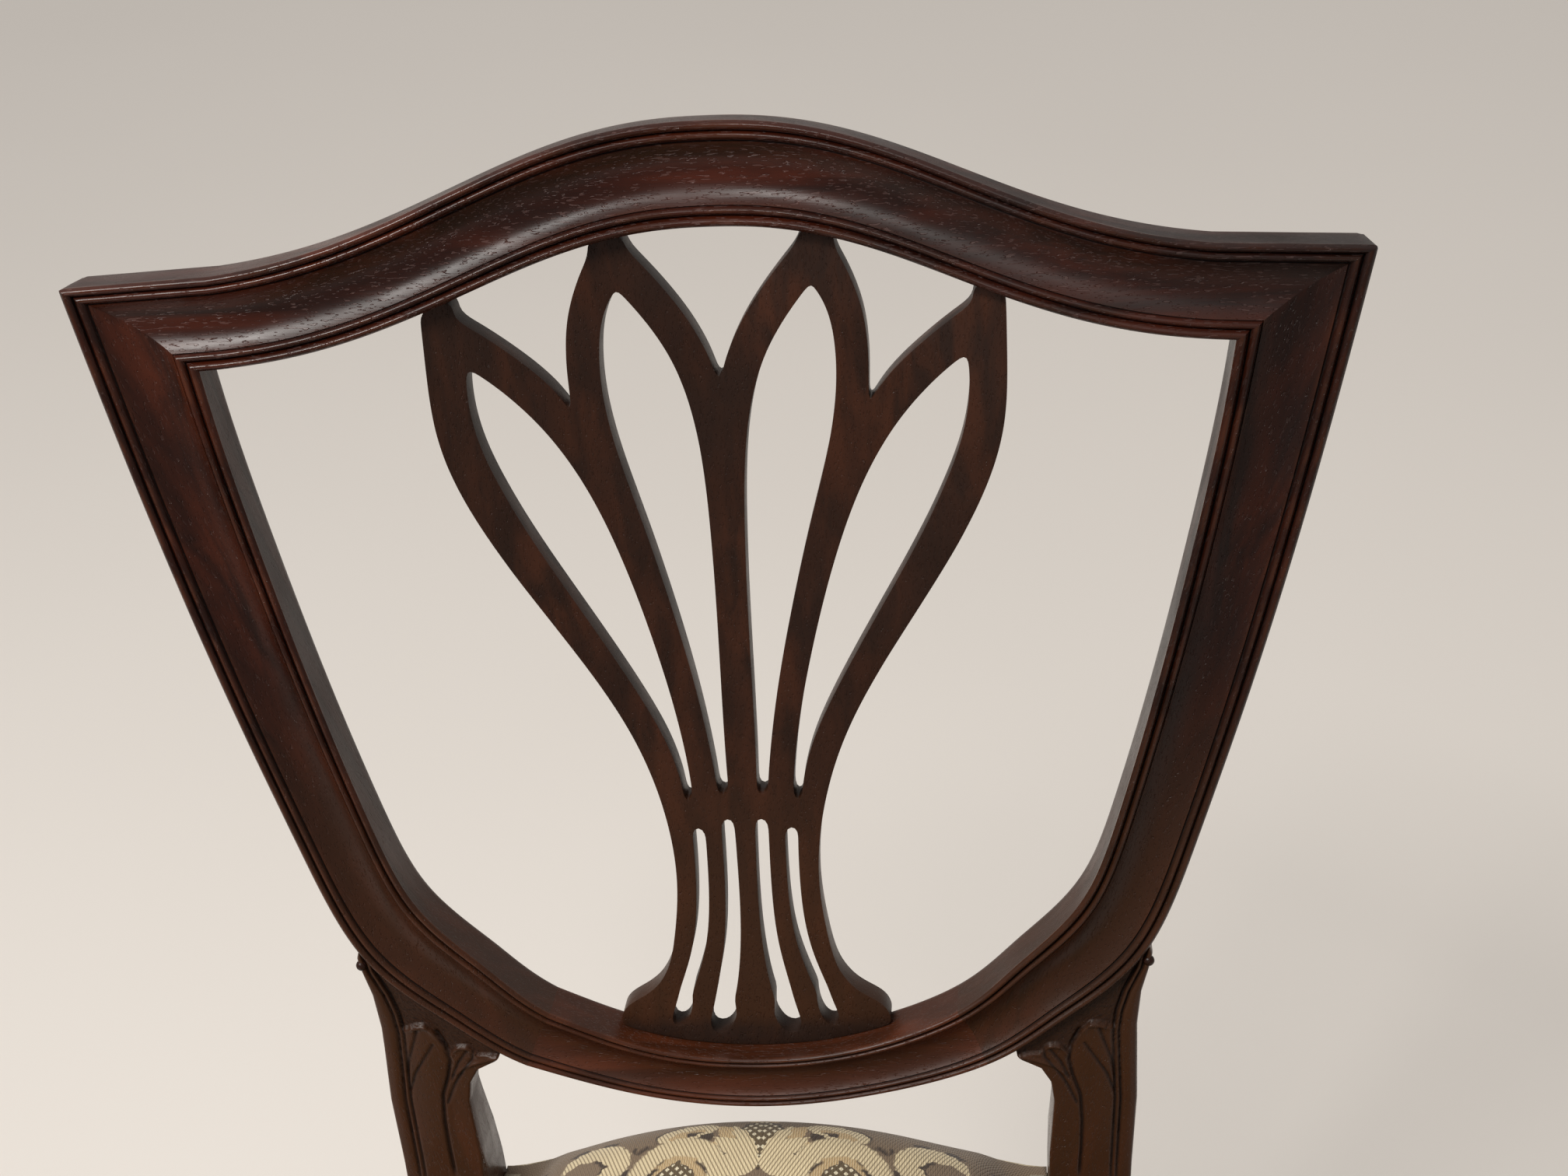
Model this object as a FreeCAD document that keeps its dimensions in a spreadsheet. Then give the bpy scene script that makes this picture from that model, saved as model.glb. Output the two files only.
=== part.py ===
import FreeCAD, Part
import math
import os
import Sketcher

# A dining chair with a shield-shaped open back, a pierced fan splat and a domed
# seat that is stuffed over its rails. Millimetres, +Z up, the sitter faces -Y.
# The origin is on the floor, below the middle of the chair.

Vector = FreeCAD.Vector
doc = FreeCAD.newDocument("shield_back_chair")

DRIVING_SIZES = [
    ("back_rake", 12.0, "lean of the back, degrees from upright"),
    ("shield_centre_height", 762.0, "floor to the shield's own zero line"),
    ("shield_half_width", 260.0, "middle to the shield's outer top corner"),
    ("opening_half_width", 207.0, "middle to the opening's top corner"),
    ("shoulder_rise", 134.0, "zero line to the outer top corner"),
    ("opening_shoulder_rise", 97.0, "zero line to the opening's top corner"),
    ("shield_drop", 252.7, "zero line down to the shield's lowest edge"),
    ("crest_hump", 52.0, "rise of the crest's top edge in the middle"),
    ("opening_hump", 46.3, "rise of the crest's lower edge in the middle"),
    ("crest_reach", 129.0, "half length of the hump at the top edge"),
    ("opening_reach", 122.0, "half length of the hump at the lower edge"),
    ("hump_power", 2.4, "how square the hump's shoulders are"),
    ("crest_bow", 30.0, "how far the crest is hollowed back in plan"),
    ("crest_depth", 22.0, "front to back of the crest and the stile tops"),
    ("lower_rail_depth", 26.0, "front to back of the shield's lower rail"),
    ("crest_back_round", 10.0, "rounding of the crest's back edge, middle"),
    ("stile_back_round", 1.6, "rounding of the stile's back edge"),
    ("moulding_relief", 1.0, "depth of the face moulding, 1 is as drawn"),
    ("splat_half_width", 118.6, "middle to the splat's widest edge"),
    ("splat_thickness", 12.0, "thickness of the splat's curved board"),
    ("splat_setback_top", 9.0, "splat face behind the crest's face"),
    ("splat_setback_foot", 13.0, "splat face behind the lower rail's face"),
    ("splat_tenon_length", 8.0, "length of the splat's hidden tenons"),
    ("splat_tenon_thickness", 6.0, "thickness of the splat's hidden tenons"),
    ("splat_tip_tenon_width", 8.0, "width of the tenons at the four tips"),
    ("splat_foot_tenon_width", 56.0, "width of the tenon at the foot"),
    ("post_ground_setback", 3.2, "post face behind the shield's face"),
    ("knee_rise", 20.0, "rail top to where the back's lean begins"),
    ("rail_top_height", 440.0, "floor to the top of the seat rails"),
    ("rail_height", 68.0, "height of the seat rails"),
    ("rail_thickness", 24.0, "thickness of the front and side rails"),
    ("rear_rail_thickness", 26.0, "thickness of the rear rail"),
    ("rail_tenon_length", 18.0, "length of the seat rails' tenons"),
    ("rail_tenon_thickness", 10.0, "thickness of the seat rails' tenons"),
    ("rail_tenon_shoulder", 12.0, "wood above and below a rail's tenon"),
    ("rail_tenon_root", 5.0, "tenon drawn into its own rail"),
    ("seat_front_half_width", 255.0, "middle to the front leg's outer face"),
    ("seat_depth", 410.0, "rear leg's front to front leg's front"),
    ("front_leg_top", 42.0, "side of the front leg's square at the rails"),
    ("front_leg_foot", 28.0, "side of the front leg's square at the floor"),
    ("rear_leg_outer", 166.0, "middle to the rear leg's outer face, seat"),
    ("rear_leg_inner", 130.0, "middle to the rear leg's inner face, seat"),
    ("rear_leg_depth", 40.0, "front to back of the rear leg at the seat"),
    ("rear_foot_side", 28.0, "side of the rear foot at the floor"),
    ("rear_foot_sweep", 62.0, "how far the rear foot stands behind"),
    ("rear_foot_splay", 8.0, "how far the rear foot stands out"),
    ("stretcher_height", 118.0, "floor to the stretchers' middle"),
    ("stretcher_deep", 28.0, "height of a stretcher's section"),
    ("stretcher_thick", 16.0, "thickness of a stretcher's section"),
    ("stretcher_tenon_length", 12.0, "length of a stretcher's tenon"),
    ("stretcher_tenon_thick", 8.0, "thickness of a stretcher's tenon"),
    ("stretcher_tenon_deep", 18.0, "height of a stretcher's tenon"),
    ("cross_stretcher_share", 0.46, "its place along the side stretchers"),
    ("rear_stretcher_height", 150.0, "floor to the rear stretcher's middle"),
    ("block_height", 42.0, "height of the corner blocks"),
    ("block_reach", 58.0, "how far a block runs along the side rail"),
    ("block_run", 62.0, "how far a block runs along the end rail"),
    ("screw_radius", 2.2, "radius of the block screws' shank"),
    ("screw_head_radius", 4.2, "radius of the block screws' head"),
    ("screw_bite", 16.0, "how far a block screw goes into its rail"),
    ("dowel_radius", 3.0, "radius of the back's dowels"),
    ("dowel_length", 28.0, "length of the back's dowels"),
    ("web_width", 50.0, "width of a webbing strip"),
    ("web_thickness", 1.5, "thickness of a webbing strip"),
    ("cloth_thickness", 1.0, "thickness of the foundation cloth"),
    ("cover_thickness", 2.0, "thickness of the top cover and its wadding"),
    ("seat_crown", 59.0, "rail top to the seat's highest point"),
    ("seat_crown_rear", 51.0, "rail top to the crown between the posts"),
    ("seat_edge_front", 31.0, "rail top to the stuffed edge, front"),
    ("seat_edge_rear", 15.0, "rail top to the stuffed edge, rear"),
    ("front_roll", 46.0, "length of the seat's rolled front edge"),
    ("rear_roll", 36.0, "length of the seat's rolled rear edge"),
    ("cover_turn_under", 15.0, "cover turned under the rails"),
    ("dust_cover_thickness", 1.0, "thickness of the cloth under the seat"),
    ("dust_cover_inset", 7.0, "seat edge to the dust cover's edge"),
    ("joint_clearance", 0.15, "room on each side of a tenon or dowel"),
    ("soft_clearance", 0.3, "room between a soft piece and its neighbour"),
]

sheet = doc.addObject("Spreadsheet::Sheet", "sizes")
for row, (alias, value, note) in enumerate(DRIVING_SIZES, start=1):
    sheet.set("A%d" % row, note)
    sheet.set("B%d" % row, str(value))
    sheet.setAlias("B%d" % row, alias)
doc.recompute()


def size(alias):
    """One driving size, read from the sheet."""
    return float(sheet.get(alias))


# Places that follow from the driving sizes.
rake = math.radians(size("back_rake"))
rail_top = size("rail_top_height")
rail_bottom = rail_top - size("rail_height")
ground = size("post_ground_setback")
knee_height = rail_top + size("knee_rise")
knee_drop = (knee_height - size("shield_centre_height")
             + ground * math.sin(rake)) / math.cos(rake)
back_origin = Vector(0, -knee_drop * math.sin(rake) - ground * math.cos(rake),
                     size("shield_centre_height"))
back_placement = FreeCAD.Placement(
    back_origin, FreeCAD.Rotation(Vector(1, 0, 0), 90 - size("back_rake")))
leg_inner = size("rear_leg_inner")
leg_outer = size("rear_leg_outer")
leg_back = size("rear_leg_depth")
front_y = -size("seat_depth")
front_x = size("seat_front_half_width")
front_leg_back = front_y + size("front_leg_top")
cover = size("cover_thickness")
clearance = size("joint_clearance")
soft = size("soft_clearance")

finished = []


def finish(feature, frame=None):
    """Keep a finished sub-part, with the chair's middle over the origin."""
    feature.Placement = centring.multiply(frame) if frame else centring
    finished.append(feature)
    return feature


def shaped(name, shape, placement=None):
    """A feature that holds a shape made with the geometry functions."""
    feature = doc.addObject("Part::Feature", name)
    feature.Shape = shape
    if placement is not None:
        feature.Placement = placement
    return feature


def extruded(name, face, direction, length):
    """A face pushed along a direction."""
    feature = doc.addObject("Part::Extrusion", name)
    feature.Base = shaped(name + "_outline", face)
    feature.DirMode = "Custom"
    feature.Dir = direction
    feature.Solid = True
    fit(feature, "LengthFwd", length)
    return feature


def fit(feature, name, value):
    """Give a size an expression of the sheet, or a number worked out from it."""
    if isinstance(value, str):
        feature.setExpression(name, value)
    else:
        setattr(feature, name, value)


def bar(name, start, yaw, length, width, height):
    """A block whose middle line starts at a point and runs level at an angle."""
    feature = doc.addObject("Part::Box", name)
    fit(feature, "Length", length)
    fit(feature, "Width", width)
    fit(feature, "Height", height)
    feature.recompute()
    turn = FreeCAD.Rotation(Vector(0, 0, 1), yaw)
    half = Vector(0, feature.Width.Value / 2, feature.Height.Value / 2)
    feature.Placement = FreeCAD.Placement(start - turn.multVec(half), turn)
    return feature


def tenon(name, start, yaw, length, width, height):
    """A tenon and the slightly larger room that its mortise takes out."""
    solid = bar(name, start, yaw, length, width, height)
    room = bar(name + "_mortise", start, yaw, length + " + sizes.joint_clearance",
               width + " + 2 * sizes.joint_clearance",
               height + " + 2 * sizes.joint_clearance")
    return solid, room


def rod(name, start, direction, radius, length, frame=None):
    """A rod from a point along a direction, round enough with its ten sides."""
    feature = doc.addObject("Part::Prism", name)
    feature.Polygon = 10
    fit(feature, "Circumradius", radius)
    fit(feature, "Height", length)
    turn = FreeCAD.Rotation(Vector(0, 0, 1), direction)
    local = FreeCAD.Placement(start, turn)
    feature.Placement = frame.multiply(local) if frame else local
    return feature


def square_sketch(body, name, side, height):
    """A square with one corner on the body's own axis."""
    plane = [item for item in body.Origin.OriginFeatures if item.Role == "XY_Plane"][0]
    sketch = body.newObject("Sketcher::SketchObject", name)
    sketch.AttachmentSupport = [(plane, "")]
    sketch.MapMode = "FlatFace"
    sketch.setExpression("AttachmentOffset.Base.z", height)
    corners = [Vector(0, 0, 0), Vector(30, 0, 0), Vector(30, 30, 0), Vector(0, 30, 0)]
    for index in range(4):
        edge = Part.LineSegment(corners[index], corners[(index + 1) % 4])
        sketch.addGeometry(edge, False)
    for index in range(4):
        sketch.addConstraint(Sketcher.Constraint("Coincident", index, 2, (index + 1) % 4, 1))
    for index, kind in enumerate(("Horizontal", "Vertical", "Horizontal", "Vertical")):
        sketch.addConstraint(Sketcher.Constraint(kind, index))
    sketch.addConstraint(Sketcher.Constraint("Coincident", 0, 1, -1, 1))
    for name, kind, index in (("wide", "DistanceX", 0), ("deep", "DistanceY", 1)):
        number = sketch.addConstraint(Sketcher.Constraint(kind, index, 1, index, 2, 30.0))
        sketch.renameConstraint(number, name)
        sketch.setExpression("Constraints." + name, side)
    return sketch


def tapered_leg(name):
    """A square leg: straight beside the rails, tapered on its inner faces below."""
    body = doc.addObject("PartDesign::Body", name)
    foot = square_sketch(body, name + "_foot", "sizes.front_leg_foot", "0")
    top = square_sketch(body, name + "_top", "sizes.front_leg_top",
                        "sizes.rail_top_height - sizes.rail_height")
    taper = body.newObject("PartDesign::AdditiveLoft", name + "_taper")
    taper.Profile = foot
    taper.Sections = [top]
    block = body.newObject("PartDesign::Pad", name + "_block")
    block.Profile = top
    block.setExpression("Length", "sizes.rail_height")
    return body


def joined(name, features):
    """Several features as one solid."""
    feature = doc.addObject("Part::MultiFuse", name)
    feature.Shapes = features
    feature.Refine = True
    return feature


def grouped(name, features):
    """Several separate solids as one sub-part."""
    feature = doc.addObject("Part::Compound", name)
    feature.Links = features
    return feature


def common(name, base, tool):
    """What two features share."""
    feature = doc.addObject("Part::Common", name)
    feature.Base = base
    feature.Tool = tool
    return feature


def cut(name, base, tools):
    """A feature with others taken out of it."""
    tool = tools[0]
    if len(tools) > 1:
        tool = grouped(name + "_tools", tools)
    feature = doc.addObject("Part::Cut", name)
    feature.Base = base
    feature.Tool = tool
    return feature


def polygon(points, height=0.0):
    """A flat face with straight edges at one height."""
    corners = [Vector(x, y, height) for x, y in points]
    return Part.Face(Part.makePolygon(corners + corners[:1]))


def outline(strokes):
    """A flat face inside strokes drawn in order: each is a list of points, a
    smooth curve when it has several, and straight lines close the gaps."""
    edges = []
    first = strokes[0][0]
    previous = first
    for stroke in strokes + [[first]]:
        if previous.distanceToPoint(stroke[0]) > 0.001:
            edges.append(Part.LineSegment(previous, stroke[0]).toShape())
        if len(stroke) > 1:
            spline = Part.BSplineCurve()
            spline.interpolate(stroke)
            edges.append(spline.toShape())
        previous = stroke[-1]
    return Part.Face(Part.Wire(edges))


def blend(start, start_pole, end_pole, end, steps=6):
    """Points along a bend that leaves and arrives towards its poles."""
    bezier = Part.BezierCurve()
    bezier.setPoles([start, start_pole, end_pole, end])
    return [bezier.value(step / steps) for step in range(steps + 1)]


# The shield's edges. In the back's own frame x is across, the second number is
# up along the back and the third is towards the sitter.

def hump(x, base, rise, reach):
    """A serpentine edge: level at the ends, humped in the middle."""
    return base + rise * math.exp(-(abs(x) / reach) ** size("hump_power"))


def crest_top(x):
    return hump(x, size("shoulder_rise"), size("crest_hump"), size("crest_reach"))


def crest_under(x):
    return hump(x, size("opening_shoulder_rise"), size("opening_hump"),
                size("opening_reach"))


def crest_hollow(x):
    """How far the crest's face lies behind the shield's plane at x."""
    span = size("opening_half_width")
    if abs(x) >= span:
        return 0.0
    return size("crest_bow") * (0.5 + 0.5 * math.cos(math.pi * x / span))


# Pairs of points across the shield's frame, outer edge then inner edge, from
# below the mitre to the joint with the lower rail and on to the middle. Each is
# a share of the shield's half width and of its drop.
STILE_PAIRS = [
    (0.919, 0.158, 0.765, 0.196),
    (0.831, -0.190, 0.692, -0.148),
    (0.748, -0.475, 0.621, -0.426),
    (0.662, -0.696, 0.556, -0.597),
    (0.531, -0.823, 0.454, -0.712),
    (0.400, -0.914, 0.350, -0.807),
]
LOWER_RAIL_PAIRS = [
    (0.204, -0.976, 0.181, -0.879),
    (0.0, -1.0, 0.0, -0.902),
]
STILE_END = float(len(STILE_PAIRS))
SHIELD_MIDDLE = float(len(STILE_PAIRS) + len(LOWER_RAIL_PAIRS))

# The face moulding, from the outer edge to the inner one: two beads, a hollow,
# two beads. Each bulge has its start, middle and end, as a share of the width
# and a depth below the highest face, and the number of flats that make it.
FACE_BULGES = [
    ((0.0, 1.8), (0.045, 0.2), (0.09, 1.5), 3),
    ((0.10, 2.6), (0.142, 0.9), (0.185, 2.4), 2),
    ((0.22, 3.1), (0.51, 7.8), (0.80, 3.1), 6),
    ((0.81, 2.4), (0.85, 0.8), (0.89, 2.2), 2),
    ((0.90, 2.9), (0.95, 0.3), (1.0, 1.8), 3),
]
FULL_FACE_WIDTH = 41.0
CREST_SPANS = 24
STILE_SPANS = 12
LOWER_RAIL_SPANS = 9


def bulge(start, middle, end, flats):
    """Points along a parabola through three points."""
    points = []
    for step in range(flats + 1):
        along = step / flats
        chord = start + (end - start) * along
        points.append(chord + (middle - (start + end) * 0.5) * (4 * along * (1 - along)))
    return points


def moulded_section(outer, inner, depth, back_round, face_width):
    """A closed section of the frame between its outer and its inner edge."""
    across = inner - outer
    relief = size("moulding_relief") * face_width / FULL_FACE_WIDTH

    def at(share, sink):
        return outer + across * share - Vector(0, 0, sink)

    points = []
    for start, middle, end, flats in FACE_BULGES:
        knots = [at(share, sink * relief) for share, sink in (start, middle, end)]
        points += bulge(*knots, flats)
    turned = back_round / across.Length
    bend = 1 - math.sqrt(0.5)
    points.append(at(1, depth))
    points.append(at(turned, depth))
    points.append(at(turned * bend, depth - back_round * bend))
    points.append(at(0, depth - back_round))
    return Part.makePolygon(points + points[:1])


def frame_depth(share):
    """The frame deepens from the crest's depth to the lower rail's."""
    return size("crest_depth") + share * (size("lower_rail_depth") - size("crest_depth"))


def mitre_pair(side):
    """The outer and the inner end of the mitre between crest and stile."""
    outer_x = size("shield_half_width") * side
    inner_x = size("opening_half_width") * side
    return Vector(outer_x, crest_top(outer_x), 0), Vector(inner_x, crest_under(inner_x), 0)


def mitre_section(side):
    return moulded_section(*mitre_pair(side), size("crest_depth"),
                           size("stile_back_round"), FULL_FACE_WIDTH)


def crest_section(x):
    """The crest cut across at x, standing in its hollowed plan."""
    sink = Vector(0, 0, crest_hollow(x))
    share = crest_hollow(x) / size("crest_bow")
    ends = size("stile_back_round")
    back_round = ends + (size("crest_back_round") - ends) * share
    return moulded_section(Vector(x, crest_top(x), 0) - sink, Vector(x, crest_under(x), 0) - sink,
                           size("crest_depth"), back_round, FULL_FACE_WIDTH)


def crest_blank():
    """The whole crest between its two mitres."""
    span = size("opening_half_width") * 0.96
    sections = [mitre_section(-1)]
    for step in range(CREST_SPANS + 1):
        sections.append(crest_section(span * (2 * step / CREST_SPANS - 1)))
    sections.append(mitre_section(1))
    return Part.makeLoft(sections, True, True)


def shield_edges(side):
    """The shield's outer and inner edge from one mitre round to the far joint,
    with one step of the curve's parameter for each pair of points."""
    wide = size("shield_half_width") * side
    drop = size("shield_drop")
    near = STILE_PAIRS + LOWER_RAIL_PAIRS
    far = [(-ox, oy, -ix, iy) for ox, oy, ix, iy in (STILE_PAIRS[-1:] + LOWER_RAIL_PAIRS[:-1])[::-1]]
    outer, inner = [[corner] for corner in mitre_pair(side)]
    for outer_x, outer_y, inner_x, inner_y in near + far:
        outer.append(Vector(outer_x * wide, outer_y * drop, 0))
        inner.append(Vector(inner_x * wide, inner_y * drop, 0))
    splines = []
    for points in (outer, inner):
        spline = Part.BSplineCurve()
        spline.interpolate(Points=points, Parameters=[float(step) for step in range(len(points))])
        splines.append(spline)
    return splines


def frame_section(edges, place):
    """The stile or the lower rail cut across at a place along the shield."""
    outer = edges[0].value(place)
    inner = edges[1].value(place)
    width = min((inner - outer).Length, FULL_FACE_WIDTH)
    share = min(place, 2 * SHIELD_MIDDLE - place) / SHIELD_MIDDLE
    return moulded_section(outer, inner, frame_depth(share), size("stile_back_round"), width)


def frame_loft(side, start, end, spans):
    edges = shield_edges(side)
    sections = [frame_section(edges, start + (end - start) * step / spans)
                for step in range(spans + 1)]
    return Part.makeLoft(sections, True, True)


# The splat's outlines: shares of its half width, and of the height to the
# crest's lower edge (above the zero line) or of the shield's drop (below it).
RIB_OUTSIDE = [(0.999, 0.80), (0.999, 0.62), (0.983, 0.42), (0.865, 0.14), (0.565, -0.158),
               (0.383, -0.317), (0.298, -0.443), (0.266, -0.582), (0.291, -0.693),
               (0.337, -0.764), (0.405, -0.799), (0.481, -0.821), (0.514, -0.858)]
SIDE_VALLEY = [(0.877, 0.766), (0.772, 0.699), (0.675, 0.629), (0.592, 0.559), (0.531, 0.486)]
INNER_TIP = [(0.519, 0.486), (0.525, 0.615), (0.511, 0.741), (0.472, 0.843), (0.422, 0.925)]
MIDDLE_VALLEY = [(0.282, 0.927), (0.179, 0.825), (0.077, 0.699), (0.030, 0.615), (0.009, 0.556)]
INNER_LANCET = [
    [(0.337, 0.822), (0.377, 0.769), (0.411, 0.629), (0.391, 0.42), (0.304, 0.14),
     (0.216, -0.079), (0.144, -0.237), (0.095, -0.40)],
    [(0.093, -0.421)], [(0.053, -0.421)],
    [(0.053, -0.40), (0.056, -0.158), (0.063, 0.14), (0.094, 0.42), (0.172, 0.629),
     (0.281, 0.769), (0.333, 0.822)],
]
OUTER_LANCET = [
    [(0.866, 0.622), (0.870, 0.559), (0.851, 0.42), (0.796, 0.28), (0.721, 0.14),
     (0.538, -0.079), (0.352, -0.237), (0.273, -0.317), (0.224, -0.40)],
    [(0.216, -0.431)], [(0.186, -0.431)],
    [(0.188, -0.40), (0.210, -0.317), (0.280, -0.158), (0.375, 0.0), (0.471, 0.21),
     (0.616, 0.42), (0.764, 0.559), (0.856, 0.625)],
]
INNER_SLOT = [
    [(0.039, -0.463)],
    [(0.038, -0.471), (0.034, -0.594), (0.047, -0.732), (0.070, -0.799), (0.110, -0.859)],
    [(0.128, -0.869)], [(0.154, -0.869)],
    [(0.169, -0.855), (0.141, -0.791), (0.106, -0.712), (0.087, -0.594), (0.088, -0.471)],
    [(0.087, -0.463)],
]
OUTER_SLOT = [
    [(0.149, -0.479)],
    [(0.148, -0.487), (0.148, -0.594), (0.176, -0.712), (0.230, -0.791), (0.270, -0.843)],
    [(0.284, -0.855)], [(0.310, -0.855)],
    [(0.323, -0.845), (0.282, -0.791), (0.226, -0.712), (0.195, -0.594), (0.197, -0.487)],
    [(0.196, -0.479)],
]
INNER_TIP_NECK = (0.302, 0.422)
OUTER_TIP_NECK = (0.890, 0.999)
BURIAL = 6.0


def splat_point(share, side=1):
    rise = size("opening_shoulder_rise") + size("opening_hump")
    scale = rise if share[1] > 0 else size("shield_drop")
    return Vector(share[0] * size("splat_half_width") * side, share[1] * scale, 0)


def splat_strokes(shares, side):
    return [[splat_point(share, side) for share in stroke] for stroke in shares]


def neck_middle(neck):
    """Where the middle of a tip meets the crest."""
    x = 0.5 * (neck[0] + neck[1]) * size("splat_half_width")
    return Vector(x, crest_under(x), 0)


def splat_face():
    """The pierced board's face, running a little into crest and lower rail."""
    inner_top = neck_middle(INNER_TIP_NECK).y + BURIAL
    outer_top = neck_middle(OUTER_TIP_NECK).y + BURIAL
    wide = size("splat_half_width")
    foot = -size("shield_drop") * 0.93
    sky = inner_top + BURIAL
    right = [splat_point(share) for share in RIB_OUTSIDE]
    left = [splat_point(share, -1) for share in RIB_OUTSIDE]
    tops = [(1.0, outer_top), (0.80, outer_top), (0.50, inner_top)]
    strokes = [right, [Vector(right[-1].x, foot, 0)], [Vector(left[-1].x, foot, 0)], left[::-1]]
    strokes += [[Vector(-x * wide, y, 0)] for x, y in tops]
    strokes += [[Vector(x * wide, y, 0)] for x, y in reversed(tops)]
    board = outline(strokes)
    openings = []
    for side in (1, -1):
        for shares in (INNER_LANCET, OUTER_LANCET, INNER_SLOT, OUTER_SLOT):
            openings.append(outline(splat_strokes(shares, side)))
        valley = splat_strokes([[(OUTER_TIP_NECK[0], 0.785)], SIDE_VALLEY, INNER_TIP,
                                [(INNER_TIP_NECK[1], 0.94)]], side)
        valley.insert(0, [Vector(valley[0][0].x, sky, 0)])
        valley.append([Vector(valley[-1][0].x, sky, 0)])
        openings.append(outline(valley))
    half = [Vector(INNER_TIP_NECK[0] * wide, sky, 0)]
    half.append(splat_point((INNER_TIP_NECK[0], 0.955)))
    curve = [splat_point(share) for share in MIDDLE_VALLEY]
    other = [Vector(-point.x, point.y, 0) for point in curve]
    flip = [Vector(-point.x, point.y, 0) for point in half]
    openings.append(outline([[half[0]], [half[1]], curve, other[::-1], [flip[1]], [flip[0]]]))
    return board.cut(openings).Faces[0]


def splat_sink(x, y):
    """How far the splat's face lies behind the shield's plane."""
    top = size("opening_shoulder_rise") + size("opening_hump")
    share = (y + 0.902 * size("shield_drop")) / (top + 0.902 * size("shield_drop"))
    foot = size("splat_setback_foot")
    rise = size("splat_setback_top") + size("crest_bow") - foot
    hollow = (size("crest_bow") - crest_hollow(size("splat_half_width")))
    return foot + share * (rise - hollow * (x / size("splat_half_width")) ** 2)


def splat_slab():
    """A board as thick as the splat, flat at its foot and hollowed at its top."""
    sections = []
    reach = size("splat_half_width") * 1.05
    thick = Vector(0, 0, size("splat_thickness"))
    low = -size("shield_drop") * 0.99
    high = size("opening_shoulder_rise") + size("opening_hump") * 1.5
    steps = [reach * step / 4 for step in range(-4, 5)]
    for y in (low, high):
        front = [Vector(x, y, -splat_sink(x, y)) for x in steps]
        back = [point - thick for point in reversed(front)]
        sections.append(Part.makePolygon(front + back + front[:1]))
    return Part.makeLoft(sections, True, True)


def post_height(drop_share):
    """Height on the post's face, from a share of the shield's drop."""
    return (back_origin.z + drop_share * size("shield_drop") * math.cos(rake)
            - ground * math.sin(rake))


def back_point(y, z):
    """A point of the back's middle plane, in the chair's own frame."""
    return back_placement.multVec(Vector(0, y, z))


# The post above the seat: shares of the shield's half width and of its drop.
POST_OUTSIDE = [(0.643, -1.128), (0.652, -0.989), (0.652, -0.839), (0.660, -0.768),
                (0.674, -0.712), (0.670, -0.667)]
POST_UNDER_BEAD = [(0.656, -0.657), (0.562, -0.780), (0.446, -0.880)]
POST_INSIDE = [(0.448, -0.909), (0.488, -0.926), (0.507, -0.962), (0.510, -1.009),
               (0.503, -1.128)]
POST_TOP = -0.64
POST_HOLLOW = -0.94
LEG_CURVE_STEPS = 4


def leg_front_face(side):
    """The rear leg and its post seen from the front."""
    foot_outer = leg_outer + size("rear_foot_splay")
    foot_inner = foot_outer - size("rear_foot_side")
    wide = size("shield_half_width")

    def flat(x, z):
        return Vector(side * x, 0, z)

    def post(shares):
        return [flat(x * wide, post_height(drop)) for x, drop in shares]

    plain = knee_height - size("knee_rise")
    strokes = [[flat(foot_outer, 0)], [flat(leg_outer, rail_bottom)]]
    strokes.append([flat(leg_outer, plain)] + post(POST_OUTSIDE))
    strokes.append(post(POST_UNDER_BEAD))
    strokes.append(post(POST_INSIDE) + [flat(leg_inner, plain)])
    strokes += [[flat(leg_inner, rail_bottom)], [flat(foot_inner, 0)]]
    return outline(strokes)


def sweep_back(start, end, z):
    """Below the rails the leg curves back: y at a height, from rails to floor."""
    return start + (end - start) * (1 - z / rail_bottom) ** 2


def leg_side_face():
    """The rear leg and its post seen from the side."""
    heights = [rail_bottom * step / LEG_CURVE_STEPS for step in range(LEG_CURVE_STEPS + 1)]
    foot_front = size("rear_foot_sweep")
    foot_back = foot_front + size("rear_foot_side")
    bend = size("knee_rise")
    leaned = Vector(0, math.sin(rake), math.cos(rake))
    knee = Vector(0, 0, knee_height)
    depth = frame_depth(5 / SHIELD_MIDDLE)
    front_top = back_point(POST_TOP * size("shield_drop"), -ground)
    back_top = back_point(POST_TOP * size("shield_drop"), -depth)
    hollow = back_point(POST_HOLLOW * size("shield_drop"), -depth)
    plain_back = Vector(0, leg_back, rail_top + 10)
    front = [Vector(0, sweep_back(0, foot_front, z), z) for z in heights]
    back = [Vector(0, sweep_back(leg_back, foot_back, z), z) for z in heights]
    turn = blend(knee - Vector(0, 0, bend), knee, knee, knee + leaned * bend)
    waist = blend(hollow, hollow - leaned * bend, plain_back + Vector(0, 0, bend), plain_back)
    return outline([front, turn, [front_top], [back_top], waist, back[::-1]])


# The back: crest and lower rail blanks, the splat cut to them, tenons, dowels.
SIDES = (("right", 1), ("left", -1))
crest_solid = crest_blank()
placed_crest = crest_solid.copy()
placed_crest.Placement = back_placement
rearmost = placed_crest.BoundBox.YMax
foremost = front_y - cover - soft
centring = FreeCAD.Placement(Vector(0, -0.5 * (rearmost + foremost), 0), FreeCAD.Rotation())
crest_blank_feature = shaped("crest_blank", crest_solid)
lower_rail_feature = shaped("lower_rail_blank", frame_loft(
    1, STILE_END, 2 * SHIELD_MIDDLE - STILE_END, LOWER_RAIL_SPANS))


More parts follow.
